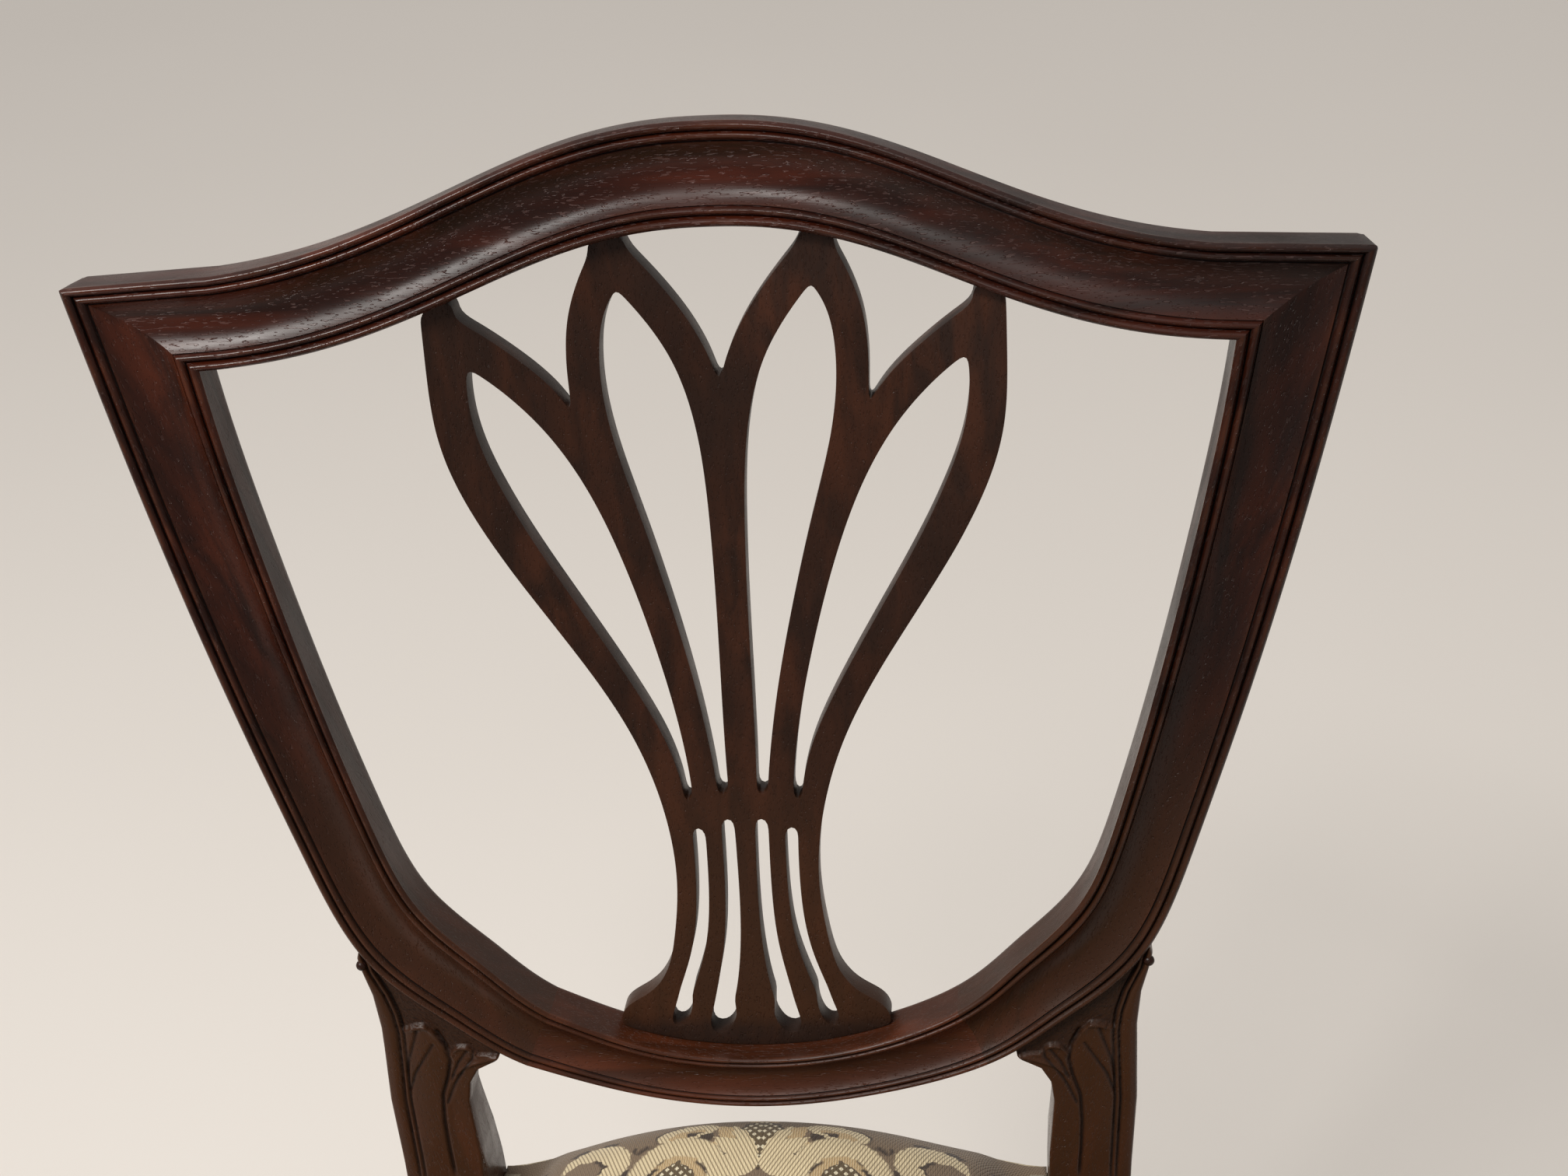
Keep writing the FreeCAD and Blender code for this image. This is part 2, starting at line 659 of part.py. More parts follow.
def splat_tenons():
    """The four tips' tenons into the crest, then the foot's into the rail."""
    pairs = []
    root = size("rail_tenon_root")
    for neck in (INNER_TIP_NECK, OUTER_TIP_NECK):
        for side_name, side in SIDES:
            spot = neck_middle(neck)
            sink = splat_sink(spot.x, spot.y) + size("splat_thickness") / 2
            start = Vector(spot.x * side, spot.y - root, -sink)
            pairs.append(tenon("%s_tip_tenon_%d" % (side_name, len(pairs)), start, 90,
                               "sizes.splat_tenon_length + sizes.rail_tenon_root",
                               "sizes.splat_tip_tenon_width", "sizes.splat_tenon_thickness"))
    seat_y = LOWER_RAIL_PAIRS[-1][3] * size("shield_drop")
    sink = splat_sink(0, seat_y) + size("splat_thickness") / 2
    pairs.append(tenon("foot_tenon", Vector(0, seat_y + root, -sink), -90,
                       "sizes.splat_tenon_length + sizes.rail_tenon_root",
                       "sizes.splat_foot_tenon_width", "sizes.splat_tenon_thickness"))
    return pairs


splat_pairs = splat_tenons()
piercing = extruded("splat_piercing", splat_face(), Vector(0, 0, -1),
                    "sizes.crest_bow + sizes.splat_setback_foot + 3 * sizes.splat_thickness")
splat_board = common("splat_board", piercing, shaped("splat_curved_slab", splat_slab()))
splat_fitted = cut("splat_fitted", splat_board, [crest_blank_feature, lower_rail_feature])
finish(joined("splat", [splat_fitted] + [pair[0] for pair in splat_pairs]), back_placement)

DOWEL_SINK = 14.0
MITRE_DOWEL_PLACES = (-14.0, 2.0)
RAIL_DOWEL_PLACES = (-7.0, 7.0)


def joint_dowels(name, outer, inner, places):
    """Two dowels square to a joint: their starts and their direction."""
    across = (inner - outer).normalize()
    along = Vector(-across.y, across.x, 0)
    middle = (outer + inner) * 0.5 - Vector(0, 0, DOWEL_SINK)
    half = along * (size("dowel_length") / 2)
    return [(name + "_%d" % number, middle - across * place - half, along)
            for number, place in enumerate(places, start=1)]


def dowel_features(rods, frame=None, room=False):
    """Dowels, or the holes for them when room is wanted."""
    features = []
    for name, start, along in rods:
        if room:
            tag = "_leg_hole" if frame else "_hole"
            features.append(rod(name + tag, start - along * clearance, along,
                                "sizes.dowel_radius + sizes.joint_clearance",
                                "sizes.dowel_length + 2 * sizes.joint_clearance", frame))
        else:
            features.append(rod(name, start, along, "sizes.dowel_radius", "sizes.dowel_length"))
    return features


mitre_rods = {}
rail_rods = {}
for side_name, side in SIDES:
    outer_end, inner_end = mitre_pair(side)
    mitre_rods[side_name] = joint_dowels(side_name + "_mitre_dowel", outer_end, inner_end,
                                         MITRE_DOWEL_PLACES)
    edges = shield_edges(side)
    rail_rods[side_name] = joint_dowels(side_name + "_rail_dowel", edges[0].value(STILE_END),
                                        edges[1].value(STILE_END), RAIL_DOWEL_PLACES)
all_mitre_rods = mitre_rods["right"] + mitre_rods["left"]
all_rail_rods = rail_rods["right"] + rail_rods["left"]
finish(grouped("crest_dowels", dowel_features(all_mitre_rods)), back_placement)
finish(grouped("lower_rail_dowels", dowel_features(all_rail_rods)), back_placement)
tip_rooms = [pair[1] for pair in splat_pairs[:-1]]
finish(cut("crest_rail", crest_blank_feature,
           tip_rooms + dowel_features(all_mitre_rods, room=True)), back_placement)
finish(cut("shield_lower_rail", lower_rail_feature,
           [splat_pairs[-1][1]] + dowel_features(all_rail_rods, room=True)), back_placement)

# Rooms that each leg and rail has to give up for its neighbours.
rooms = {}


def give_room(owner, feature):
    rooms.setdefault(owner, []).append(feature)


# The legs before their mortises.
leg_shafts = {}
leg_blanks = {}
for side_name, side in SIDES:
    front = extruded(side_name + "_leg_front", leg_front_face(side), Vector(0, 1, 0),
                     "3 * sizes.rear_leg_depth + sizes.rear_foot_sweep")
    profile = extruded(side_name + "_leg_side", leg_side_face(), Vector(side, 0, 0),
                       "sizes.shield_half_width")
    shaft = common(side_name + "_leg_shaft", front, profile)
    stile = shaped(side_name + "_stile", frame_loft(side, 0, STILE_END, STILE_SPANS),
                   back_placement)
    leg_shafts[side_name] = shaft
    blank = joined(side_name + "_leg_blank", [shaft, stile])
    blank.Refine = False
    leg_blanks[side_name + "_rear_leg"] = blank
    for hole in dowel_features(mitre_rods[side_name] + rail_rods[side_name],
                               back_placement, room=True):
        give_room(side_name + "_rear_leg", hole)
    body = tapered_leg(side_name + "_front_leg_body")
    turn = FreeCAD.Rotation(Vector(0, 0, 1), 90 if side > 0 else 0)
    body.Placement = FreeCAD.Placement(Vector(side * front_x, front_y, 0), turn)
    leg_blanks[side_name + "_front_leg"] = body

# The seat rails, tenoned into the legs.
RAIL_TENON = ("sizes.rail_tenon_thickness", "sizes.rail_height - 2 * sizes.rail_tenon_shoulder")
rail_middle = rail_bottom + size("rail_height") / 2
tenon_root = size("rail_tenon_root")
slope = (front_x - leg_outer) / -front_leg_back
side_rail_width = size("rail_thickness") * math.hypot(1, slope)
rear_rail_back = leg_back - 2.0
rear_rail_front = rear_rail_back - size("rear_rail_thickness")
front_rail_back = front_y + size("rail_thickness")
front_leg_inner = front_x - size("front_leg_top")


def side_rail_outer(y):
    """How far from the middle a side rail's outer face is at y."""
    return leg_outer - slope * y


def side_rail_inner(y):
    return side_rail_outer(y) - side_rail_width


def end_rail(name, middle_y, half_length, thickness, reach, owners):
    """The front or the rear rail with a tenon at both ends."""
    blank = bar(name + "_blank", Vector(-half_length, middle_y, rail_middle), 0,
                2 * half_length, thickness, "sizes.rail_height")
    parts = [blank]
    for (side_name, side), owner in zip(SIDES, owners):
        start = Vector(side * (half_length - tenon_root), middle_y, rail_middle)
        solid, room = tenon("%s_%s_tenon" % (name, side_name), start, 0 if side > 0 else 180,
                            reach, *RAIL_TENON)
        parts.append(solid)
        give_room(owner, room)
    return joined(name + "_whole", parts)


rails = {}
rails["rear_seat_rail"] = end_rail(
    "rear_seat_rail", 0.5 * (rear_rail_front + rear_rail_back), leg_inner,
    "sizes.rear_rail_thickness", "0.8 * sizes.rail_tenon_length + sizes.rail_tenon_root",
    ("right_rear_leg", "left_rear_leg"))
rails["front_seat_rail"] = end_rail(
    "front_seat_rail", 0.5 * (front_y + front_rail_back), front_leg_inner,
    "sizes.rail_thickness", "sizes.rail_tenon_length + sizes.rail_tenon_root",
    ("right_front_leg", "left_front_leg"))
for side_name, side in SIDES:
    name = side_name + "_seat_rail"
    plan = [(side_rail_outer(0), 0), (front_x, front_leg_back),
            (side_rail_inner(front_leg_back), front_leg_back), (side_rail_inner(0), 0)]
    parts = [extruded(name + "_blank", polygon([(x * side, y) for x, y in plan], rail_bottom),
                      Vector(0, 0, 1), "sizes.rail_height")]
    for end_name, end_y, yaw in (("rear", 0, 90), ("front", front_leg_back, -90)):
        inward = -tenon_root if end_name == "rear" else tenon_root
        x = side_rail_outer(end_y) - side_rail_width / 2
        solid, room = tenon("%s_%s_tenon" % (name, end_name),
                            Vector(side * x, end_y + inward, rail_middle), yaw,
                            "sizes.rail_tenon_length + sizes.rail_tenon_root", *RAIL_TENON)
        parts.append(solid)
        give_room("%s_%s_leg" % (side_name, end_name), room)
    rails[name] = joined(name + "_whole", parts)

# The stretchers: overlong bars shouldered by the legs, then tenoned.
STRETCHER_TENON = ("sizes.stretcher_tenon_thick", "sizes.stretcher_tenon_deep")
STRETCHER_ROOT = 10.0
stretcher_z = size("stretcher_height")
rear_stretcher_z = size("rear_stretcher_height")
leg_reach = "sizes.stretcher_tenon_length + %s" % STRETCHER_ROOT


def front_leg_side(z):
    """Side of the front leg's square at a height below the rails."""
    foot = size("front_leg_foot")
    return foot + (size("front_leg_top") - foot) * z / rail_bottom


def rear_leg_at(z):
    """The rear leg's inner and outer x, front and back y at a height."""
    low = 1 - z / rail_bottom
    outer = leg_outer + size("rear_foot_splay") * low
    foot_inner = leg_outer + size("rear_foot_splay") - size("rear_foot_side")
    inner = leg_inner + (foot_inner - leg_inner) * low
    front = sweep_back(0, size("rear_foot_sweep"), z)
    back = sweep_back(leg_back, size("rear_foot_sweep") + size("rear_foot_side"), z)
    return inner, outer, front, back


side_bars = {}
stretchers = {}
front_side = front_leg_side(stretcher_z)
inner_x, outer_x, rear_front, rear_back = rear_leg_at(stretcher_z)
for side_name, side in SIDES:
    front_end = Vector(side * (front_x - front_side / 2), front_y + front_side, stretcher_z)
    rear_end = Vector(side * 0.5 * (inner_x + outer_x), rear_front, stretcher_z)
    run = rear_end - front_end
    ahead = Vector(run.x, run.y, run.z).normalize()
    yaw = math.degrees(math.atan2(run.y, run.x))
    burial = 0.5 * size("front_leg_foot")
    name = side_name + "_side_stretcher"
    blank = bar(name + "_bar", front_end - ahead * burial, yaw, run.Length + 2 * burial,
                "sizes.stretcher_thick", "sizes.stretcher_deep")
    shouldered = cut(name + "_shouldered", blank,
                     [leg_blanks[side_name + "_front_leg"], leg_shafts[side_name]])
    to_front = tenon(name + "_front_tenon", front_end + ahead * STRETCHER_ROOT, yaw + 180,
                     leg_reach, *STRETCHER_TENON)
    to_rear = tenon(name + "_rear_tenon", rear_end - ahead * STRETCHER_ROOT, yaw,
                    leg_reach, *STRETCHER_TENON)
    give_room(side_name + "_front_leg", to_front[1])
    give_room(side_name + "_rear_leg", to_rear[1])
    side_bars[side_name] = blank
    stretchers[name] = joined(name + "_whole", [shouldered, to_front[0], to_rear[0]])
    cross_end = front_end + run * size("cross_stretcher_share")


def level_stretcher(name, half, y, z, tools, face_x, reach, owners):
    """A stretcher across the chair between two like neighbours."""
    blank = bar(name + "_bar", Vector(-half, y, z), 0, 2 * half,
                "sizes.stretcher_thick", "sizes.stretcher_deep")
    parts = [cut(name + "_shouldered", blank, tools)]
    for (side_name, side), owner in zip(SIDES, owners):
        start = Vector(side * (face_x - STRETCHER_ROOT), y, z)
        solid, room = tenon("%s_%s_tenon" % (name, side_name), start,
                            0 if side > 0 else 180, reach, *STRETCHER_TENON)
        parts.append(solid)
        give_room(owner, room)
    return joined(name + "_whole", parts)


cross_face = abs(cross_end.x) - size("stretcher_thick") / 2
stretchers["cross_stretcher"] = level_stretcher(
    "cross_stretcher", abs(cross_end.x), cross_end.y, stretcher_z,
    [side_bars["right"], side_bars["left"]], cross_face,
    "0.6 * sizes.stretcher_tenon_length + %s" % STRETCHER_ROOT,
    ("right_side_stretcher", "left_side_stretcher"))
inner_x, outer_x, rear_front, rear_back = rear_leg_at(rear_stretcher_z)
stretchers["rear_stretcher"] = level_stretcher(
    "rear_stretcher", 0.5 * (inner_x + outer_x), 0.5 * (rear_front + rear_back),
    rear_stretcher_z, [leg_shafts["right"], leg_shafts["left"]], inner_x, leg_reach,
    ("right_rear_leg", "left_rear_leg"))

# Corner blocks glued and screwed into the frame's four corners.
SCREW_SINK = 6.0
SCREW_HEAD = 3.0
SCREW_STEP = 8.0
block_bottom = rail_middle - size("block_height") / 2
screws = []


def travel(point, direction, first, second):
    """How far back from a point the line through two others is met."""
    chord = second - first
    gap = first - point
    return (chord.x * gap.y - chord.y * gap.x) / (direction.x * chord.y - direction.y * chord.x)


def drive_screw(name, point, direction, first, second, owners):
    """A screw through a block, square to the rail it meets at the point."""
    through = travel(point, direction, first, second) - SCREW_SINK
    neck = point - direction * through
    shank = rod(name + "_shank", neck, direction, "sizes.screw_radius",
                size("screw_bite") + through)
    head = rod(name + "_head", neck - direction * SCREW_HEAD, direction,
               "sizes.screw_head_radius", SCREW_HEAD)
    screws.append(joined(name, [shank, head]))
    hole = rod(name + "_hole", neck - direction, direction,
               "sizes.screw_radius + sizes.joint_clearance",
               size("screw_bite") + through + 1 + clearance)
    sink = rod(name + "_sink", neck - direction * (SCREW_SINK + 20), direction,
               "sizes.screw_head_radius + sizes.joint_clearance", SCREW_SINK + 20)
    block, rail = owners
    give_room(block, hole)
    give_room(block, sink)
    give_room(rail, hole)


blocks = {}
for side_name, side in SIDES:
    outward = Vector(side, slope, 0).normalize()
    leg_gap = soft
    run = size("block_run")
    reach = size("block_reach")
    front_plan = [(front_leg_inner - run, front_rail_back),
                  (front_leg_inner - leg_gap, front_rail_back),
                  (front_leg_inner - leg_gap, front_leg_back + leg_gap),
                  (side_rail_inner(front_leg_back + leg_gap), front_leg_back + leg_gap),
                  (side_rail_inner(front_leg_back + reach), front_leg_back + reach)]
    rear_plan = [(leg_inner - run, rear_rail_front),
                 (leg_inner - leg_gap, rear_rail_front), (leg_inner - leg_gap, -leg_gap),
                 (side_rail_inner(-leg_gap), -leg_gap), (side_rail_inner(-reach), -reach)]
    ends = (("front", front_plan, front_rail_back, -1, front_leg_back + 0.55 * reach),
            ("rear", rear_plan, rear_rail_front, 1, -0.55 * reach))
    for end_name, plan, rail_y, facing, side_y in ends:
        name = "%s_%s_corner_block" % (side_name, end_name)
        corners = [(x * side, y) for x, y in plan]
        blocks[name] = extruded(name + "_blank", polygon(corners, block_bottom),
                                Vector(0, 0, 1), "sizes.block_height")
        first = Vector(corners[0][0], corners[0][1], 0)
        last = Vector(corners[-1][0], corners[-1][1], 0)
        end_x = plan[0][0] + 0.4 * run
        drive_screw(name + "_end_screw",
                    Vector(side * end_x, rail_y, rail_middle + SCREW_STEP),
                    Vector(0, facing, 0), first, last, (name, end_name + "_seat_rail"))
        drive_screw(name + "_side_screw",
                    Vector(side * side_rail_inner(side_y), side_y, rail_middle - SCREW_STEP),
                    outward, first, last, (name, side_name + "_seat_rail"))
finish(grouped("block_screws", screws))

# Every leg, rail, stretcher and block, less the rooms it gives.
for group in (leg_blanks, rails, stretchers, blocks):
    for name, blank in group.items():
        if name in rooms:
            finish(cut(name, blank, rooms[name]))
        else:
            blank.Label = name
            finish(blank)

# The seat's soft build-up. Webbing lies on the rails, then a cloth, then the pad.
WEB_SPREAD = 0.77
CROSS_WEBS = 4
web = size("web_thickness")
cloth_bottom = rail_top + 2 * web
pad_bottom = cloth_bottom + size("cloth_thickness")
cover_gap = cover + soft


def seat_plan(outset, height, rear_y):
    """The seat's outline around the rails, grown by an outset."""
    half = [(front_x + outset, front_y - outset), (front_x + outset, front_leg_back),
            (leg_outer + outset, 0), (leg_outer + outset, rear_y + outset)]
    return polygon(half + [(-x, y) for x, y in reversed(half)], height)


def corner_rooms(name, gap, low, high, with_front):
    """Blocks of space around the rear posts, and around the front legs."""
    features = []
    tall = high - low
    for side_name, side in SIDES:
        corners = [(leg_inner - gap, -gap), (leg_outer + 40, -gap), (leg_outer + 40, 90),
                   (leg_inner - gap, 90)]
        face = polygon([(x * side, y) for x, y in corners], low)
        features.append(shaped(name + "_rear_" + side_name, face.extrude(Vector(0, 0, tall))))
        if with_front:
            inner = front_leg_inner - gap
            corners = [(inner, front_leg_back + gap), (front_x + gap, front_leg_back + gap),
                       (front_x + gap, front_y - gap), (inner, front_y - gap)]
            face = polygon([(x * side, y) for x, y in corners], low)
            features.append(shaped(name + "_front_" + side_name,
                                   face.extrude(Vector(0, 0, tall))))
    return features


web_start = front_y + 8.0
strips = []
for number in range(4):
    x = leg_inner * WEB_SPREAD * (number - 1.5) / 1.5
    strips.append(bar("long_web_%d" % (number + 1), Vector(x, web_start, rail_top + web / 2), 90,
                      rear_rail_back - 6.0 - web_start, "sizes.web_width", "sizes.web_thickness"))
finish(grouped("lengthwise_webbing", strips))
strips = []
for number in range(CROSS_WEBS):
    y = front_leg_back * (number + 0.6) / CROSS_WEBS
    half = side_rail_outer(y) - 14.0
    strips.append(bar("cross_web_%d" % (number + 1), Vector(-half, y, rail_top + 1.5 * web), 0,
                      2 * half, "sizes.web_width", "sizes.web_thickness"))
finish(grouped("crosswise_webbing", strips))
cloth = extruded("foundation_cloth_blank", seat_plan(-5.0, cloth_bottom, rear_rail_back),
                 Vector(0, 0, 1), "sizes.cloth_thickness")
finish(cut("foundation_cloth", cloth, corner_rooms("cloth_room", soft, cloth_bottom - 5,
                                                   pad_bottom + 5, False)))

ROLL_STEPS = 4
END_RISE = 8.0
SIDE_ROLL = 18.0
POST_ROLL = 24.0
POST_ROLL_REACH = 40.0
CROWN_STEPS = 4


def seat_section(y, inset, front, rear, base):
    """The stuffed seat cut across at y: rolled sides and a crowned top."""
    front_rise = min(1.0, (y - front) / size("front_roll"))
    rear_rise = min(1.0, (rear - y) / size("rear_roll"))
    rise = math.sqrt(1 - (1 - front_rise) ** 2) * math.sqrt(1 - (1 - rear_rise) ** 2)
    half_length = 0.5 * (rear - front) - 0.5 * size("rear_roll")
    centre = 0.5 * (front + rear) - 0.5 * size("rear_roll")
    dip = size("seat_crown") - size("seat_crown_rear")
    crown = size("seat_crown") - dip * min(1.0, (y - centre) ** 2 / half_length ** 2)
    low = size("seat_edge_rear")
    top = low + (crown - low) * rise - inset
    back_share = math.exp(min(y, 0) / (2 * POST_ROLL_REACH))
    edge = size("seat_edge_front") + (low - size("seat_edge_front")) * back_share
    edge = END_RISE + (edge - END_RISE) * rise - inset
    width = side_rail_outer(max(min(y, 0), front_leg_back)) + cover_gap - inset
    roll = SIDE_ROLL + POST_ROLL * math.exp(min(y, 0) / POST_ROLL_REACH) + 0.5 * max(y, 0)
    shoulder = width - roll
    foot = base - rail_top
    half = []
    for step in range(ROLL_STEPS + 1):
        turn = 0.5 * math.pi * step / ROLL_STEPS
        half.append((shoulder + roll * math.cos(turn), foot + (edge - foot) * math.sin(turn)))
    for step in range(1, CROWN_STEPS + 1):
        share = 1 - step / CROWN_STEPS
        half.append((shoulder * share, top - (top - edge) * share ** 2))
    points = half + [(-x, z) for x, z in reversed(half[:-1])]
    ring = [Vector(x, y, rail_top + z) for x, z in points]
    return Part.makePolygon(ring + ring[:1])


def seat_dome(inset, base):
    """The stuffed seat as a solid, its skin moved in by an inset."""
    front = front_y - cover_gap + inset
    rear = rear_rail_back + cover_gap + inset * -1
    rows = []
    for step in range(ROLL_STEPS + 1):
        share = 1 - math.cos(0.5 * math.pi * step / ROLL_STEPS)
        rows.append(rear - size("rear_roll") * share)
    first = front + size("front_roll")
    last = rows[-1]
    rows += [last + (first - last) * step / 5 for step in range(1, 5)]
    for step in range(ROLL_STEPS, -1, -1):
        share = 1 - math.cos(0.5 * math.pi * step / ROLL_STEPS)
        rows.append(front + size("front_roll") * share)
    sections = [seat_section(y, inset, front, rear, base) for y in rows]
    return Part.makeLoft(sections, True, True)


lip_bottom = rail_bottom - soft - web
pad_blank = shaped("seat_pad_blank", seat_dome(cover_gap, pad_bottom))
finish(cut("seat_pad", pad_blank, corner_rooms("pad_room", soft, pad_bottom - 5,
                                               rail_top + 90, False)))
skirt = extruded("cover_skirt", seat_plan(cover_gap, lip_bottom, rear_rail_back),
                 Vector(0, 0, 1), rail_top - lip_bottom)
cover_outer = joined("cover_outer", [shaped("cover_dome", seat_dome(0, rail_top)), skirt])
hollow = extruded("cover_hollow", seat_plan(soft, lip_bottom + web, rear_rail_back),
                  Vector(0, 0, 1), rail_top - lip_bottom - web)
mouth = extruded("cover_mouth", seat_plan(-size("cover_turn_under"), lip_bottom - 5,
                                          rear_rail_back), Vector(0, 0, 1), 10.0 + web)
cover_inner = joined("cover_inner", [shaped("cover_inner_dome", seat_dome(cover, rail_top)),
                                     hollow, mouth])
cover_shell = cut("cover_shell", cover_outer, [cover_inner])
cover_open = cut("cover_open", cover_shell,
                 corner_rooms("post_room", soft, lip_bottom - 5, rail_top + 90, False))
finish(cut("seat_cover", cover_open,
           corner_rooms("leg_room", soft, lip_bottom - 5, rail_bottom, True)))
dust_bottom = lip_bottom - size("dust_cover_thickness")
dust = extruded("dust_cover_blank", seat_plan(-size("dust_cover_inset"), dust_bottom,
                                              rear_rail_back), Vector(0, 0, 1),
                "sizes.dust_cover_thickness")
finish(cut("dust_cover", dust, corner_rooms("dust_room", 2 * soft, dust_bottom - 5,
                                            lip_bottom + 5, True)))

# Check every object, then write the parts.
doc.recompute()
for item in doc.Objects:
    if "Invalid" in item.State or "Error" in item.State:
        raise RuntimeError("object in error: " + item.Name)
os.makedirs("parts", exist_ok=True)
for feature in finished:
    if feature.Shape.isNull() or not feature.Shape.isValid():
        raise RuntimeError("bad shape: " + feature.Label)
    feature.Shape.exportStep("parts/" + feature.Label + ".step")
    print(feature.Label, len(feature.Shape.Solids), round(feature.Shape.Volume))
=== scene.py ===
# %% [markdown]
# # A shield back chair, dressed around its CAD frame
# The solids come from a packed CAD model. This lesson gives them their looks: a
# deep red-brown mahogany back with moulded edges and carved posts, and a domed
# seat in a woven damask. The frame is loaded first, because every piece is
# measured from it, and its box is kept to compare sizes with at the end.

# %% Load the frame
import math
import bmesh
import bpy
from mathutils import Matrix, Vector, noise


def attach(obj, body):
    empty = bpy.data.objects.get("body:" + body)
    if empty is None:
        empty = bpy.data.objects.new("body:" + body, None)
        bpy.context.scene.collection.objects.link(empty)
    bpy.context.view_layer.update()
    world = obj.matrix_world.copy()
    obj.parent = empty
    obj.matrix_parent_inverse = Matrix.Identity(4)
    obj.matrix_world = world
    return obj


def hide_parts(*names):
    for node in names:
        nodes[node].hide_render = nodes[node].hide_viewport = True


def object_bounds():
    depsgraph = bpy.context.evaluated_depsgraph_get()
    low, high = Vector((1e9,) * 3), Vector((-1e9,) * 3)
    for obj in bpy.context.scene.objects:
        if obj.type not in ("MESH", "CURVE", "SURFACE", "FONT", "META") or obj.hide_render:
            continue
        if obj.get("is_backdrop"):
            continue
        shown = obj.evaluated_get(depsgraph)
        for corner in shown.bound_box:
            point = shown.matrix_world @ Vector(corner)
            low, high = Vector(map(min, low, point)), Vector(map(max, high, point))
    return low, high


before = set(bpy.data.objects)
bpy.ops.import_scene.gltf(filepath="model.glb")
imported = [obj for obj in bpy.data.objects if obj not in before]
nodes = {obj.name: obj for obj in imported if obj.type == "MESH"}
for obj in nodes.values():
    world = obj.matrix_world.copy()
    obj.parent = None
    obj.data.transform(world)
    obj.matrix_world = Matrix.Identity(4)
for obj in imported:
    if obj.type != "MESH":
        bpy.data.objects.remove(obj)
cad_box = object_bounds()
print("frame box", [[round(v, 4) for v in corner] for corner in cad_box])

# %% [markdown]
# ## The back's own frame
# The back leans, so its drawing is easiest in its own plane: x across, s up
# along the lean, n towards the sitter, all in millimetres. One matrix brings
# that drawing to the place where the CAD back stands.

# %% Place the back's own frame
MM = 0.001
LEAN = math.radians(12)
ZERO_HEIGHT = 0.762
ZERO_Y = 0.19288
up_back = Vector((0, math.sin(LEAN), math.cos(LEAN)))
out_front = Vector((0, -math.cos(LEAN), math.sin(LEAN)))
columns = [[v * MM for v in axis] + [0] for axis in ((1, 0, 0), up_back, out_front)]
BACK = Matrix([*columns, (0, ZERO_Y, ZERO_HEIGHT, 1)]).transposed()
CHAIR_Y = 0.13196
CHAIR = Matrix.Translation((0, CHAIR_Y, 0)) @ Matrix.Scale(MM, 4)
print("shield zero line at", [round(v, 3) for v in BACK.translation])

# %% [markdown]
# ## Camera
# The photograph looks down on the back from a little right of its middle. The
# camera stands where the fitted lines of the shield say, in the back's frame,
# and its three axes are written in that frame too.

# %% Stand the camera
CAMERA_SPOT = Vector((114.3, 357.5, 893.5))
CAMERA_RIGHT = Vector((0.9955, -0.0538, -0.0775))
CAMERA_UP = Vector((0.021, 0.9273, -0.3737))
CAMERA_BACK = Vector((0.092, 0.3705, 0.9243))
FOCAL_PIXELS = 3030
PICTURE_WIDTH = 2016
SENSOR = 36


def add_object(name, data):
    made = bpy.data.objects.new(name, data)
    bpy.context.scene.collection.objects.link(made)
    return made


camera_data = bpy.data.cameras.new("photo_camera")
camera_data.sensor_width = SENSOR
camera_data.lens = FOCAL_PIXELS * SENSOR / PICTURE_WIDTH
camera = add_object("photo_camera", camera_data)
turn = BACK.to_3x3() * (1 / MM)
axes = [(turn @ axis).normalized() for axis in (CAMERA_RIGHT, CAMERA_UP, CAMERA_BACK)]
placed = Matrix(axes).transposed().to_4x4()
placed.translation = BACK @ CAMERA_SPOT
camera.matrix_world = placed
bpy.context.scene.camera = camera
print("camera", [round(v, 3) for v in placed.translation], round(camera_data.lens, 1), "mm")

# %% [markdown]
# ## Smooth lines
# The shield is drawn with a few pairs of points, outer edge and inner edge, and
# a natural spline runs through them. Solving it by a few sweeps over the bends
# is short, and it is the same curve that the solid has.

# %% Draw the shield's edges
HALF_WIDTH = 260
OPENING_HALF = 207
DROP = 252.7
STILE_PAIRS = [(0.919, 0.158, 0.765, 0.196), (0.831, -0.19, 0.692, -0.148),
               (0.748, -0.475, 0.621, -0.426), (0.662, -0.696, 0.556, -0.597),
               (0.531, -0.823, 0.454, -0.712), (0.4, -0.914, 0.35, -0.807)]
RAIL_PAIRS = [(0.204, -0.976, 0.181, -0.879), (0, -1, 0, -0.902)]
STILE_END = 6
SHIELD_MIDDLE = 8
# Each edge of the crest: its height at the ears, its rise and the rise's reach.
TOP_HUMP = (134, 52, 129)
UNDER_HUMP = (97, 46.3, 122)
HUMP_POWER = 2.4
CREST_BOW = 30


def clamped(value):
    return min(max(value, 0), 1)


def ease(value, start=0, run=1):
    """Go smoothly from 0 at the start to 1 at the end of the run."""
    value = clamped((value - start) / run)
    return value * value * (3 - 2 * value)


def natural_spline(points):
    """A smooth line through points, with one step of its parameter for each."""
    bends = [Vector((0, 0, 0)) for _ in points]
    for _ in range(40):
        for i in range(1, len(points) - 1):
            pull = points[i - 1] - 2 * points[i] + points[i + 1]
            bends[i] = (6 * pull - bends[i - 1] - bends[i + 1]) / 4

    def at(place):
        i = min(max(int(place), 0), len(points) - 2)
        b = place - i
        a = 1 - b
        line = points[i] * a + points[i + 1] * b
        return line + ((a ** 3 - a) * bends[i] + (b ** 3 - b) * bends[i + 1]) / 6

    return at


def hump(x, base, rise, reach):
    return base + rise * math.exp(-(abs(x) / reach) ** HUMP_POWER)


def crest_top(x):
    return hump(x, *TOP_HUMP)


def crest_under(x):
    return hump(x, *UNDER_HUMP)


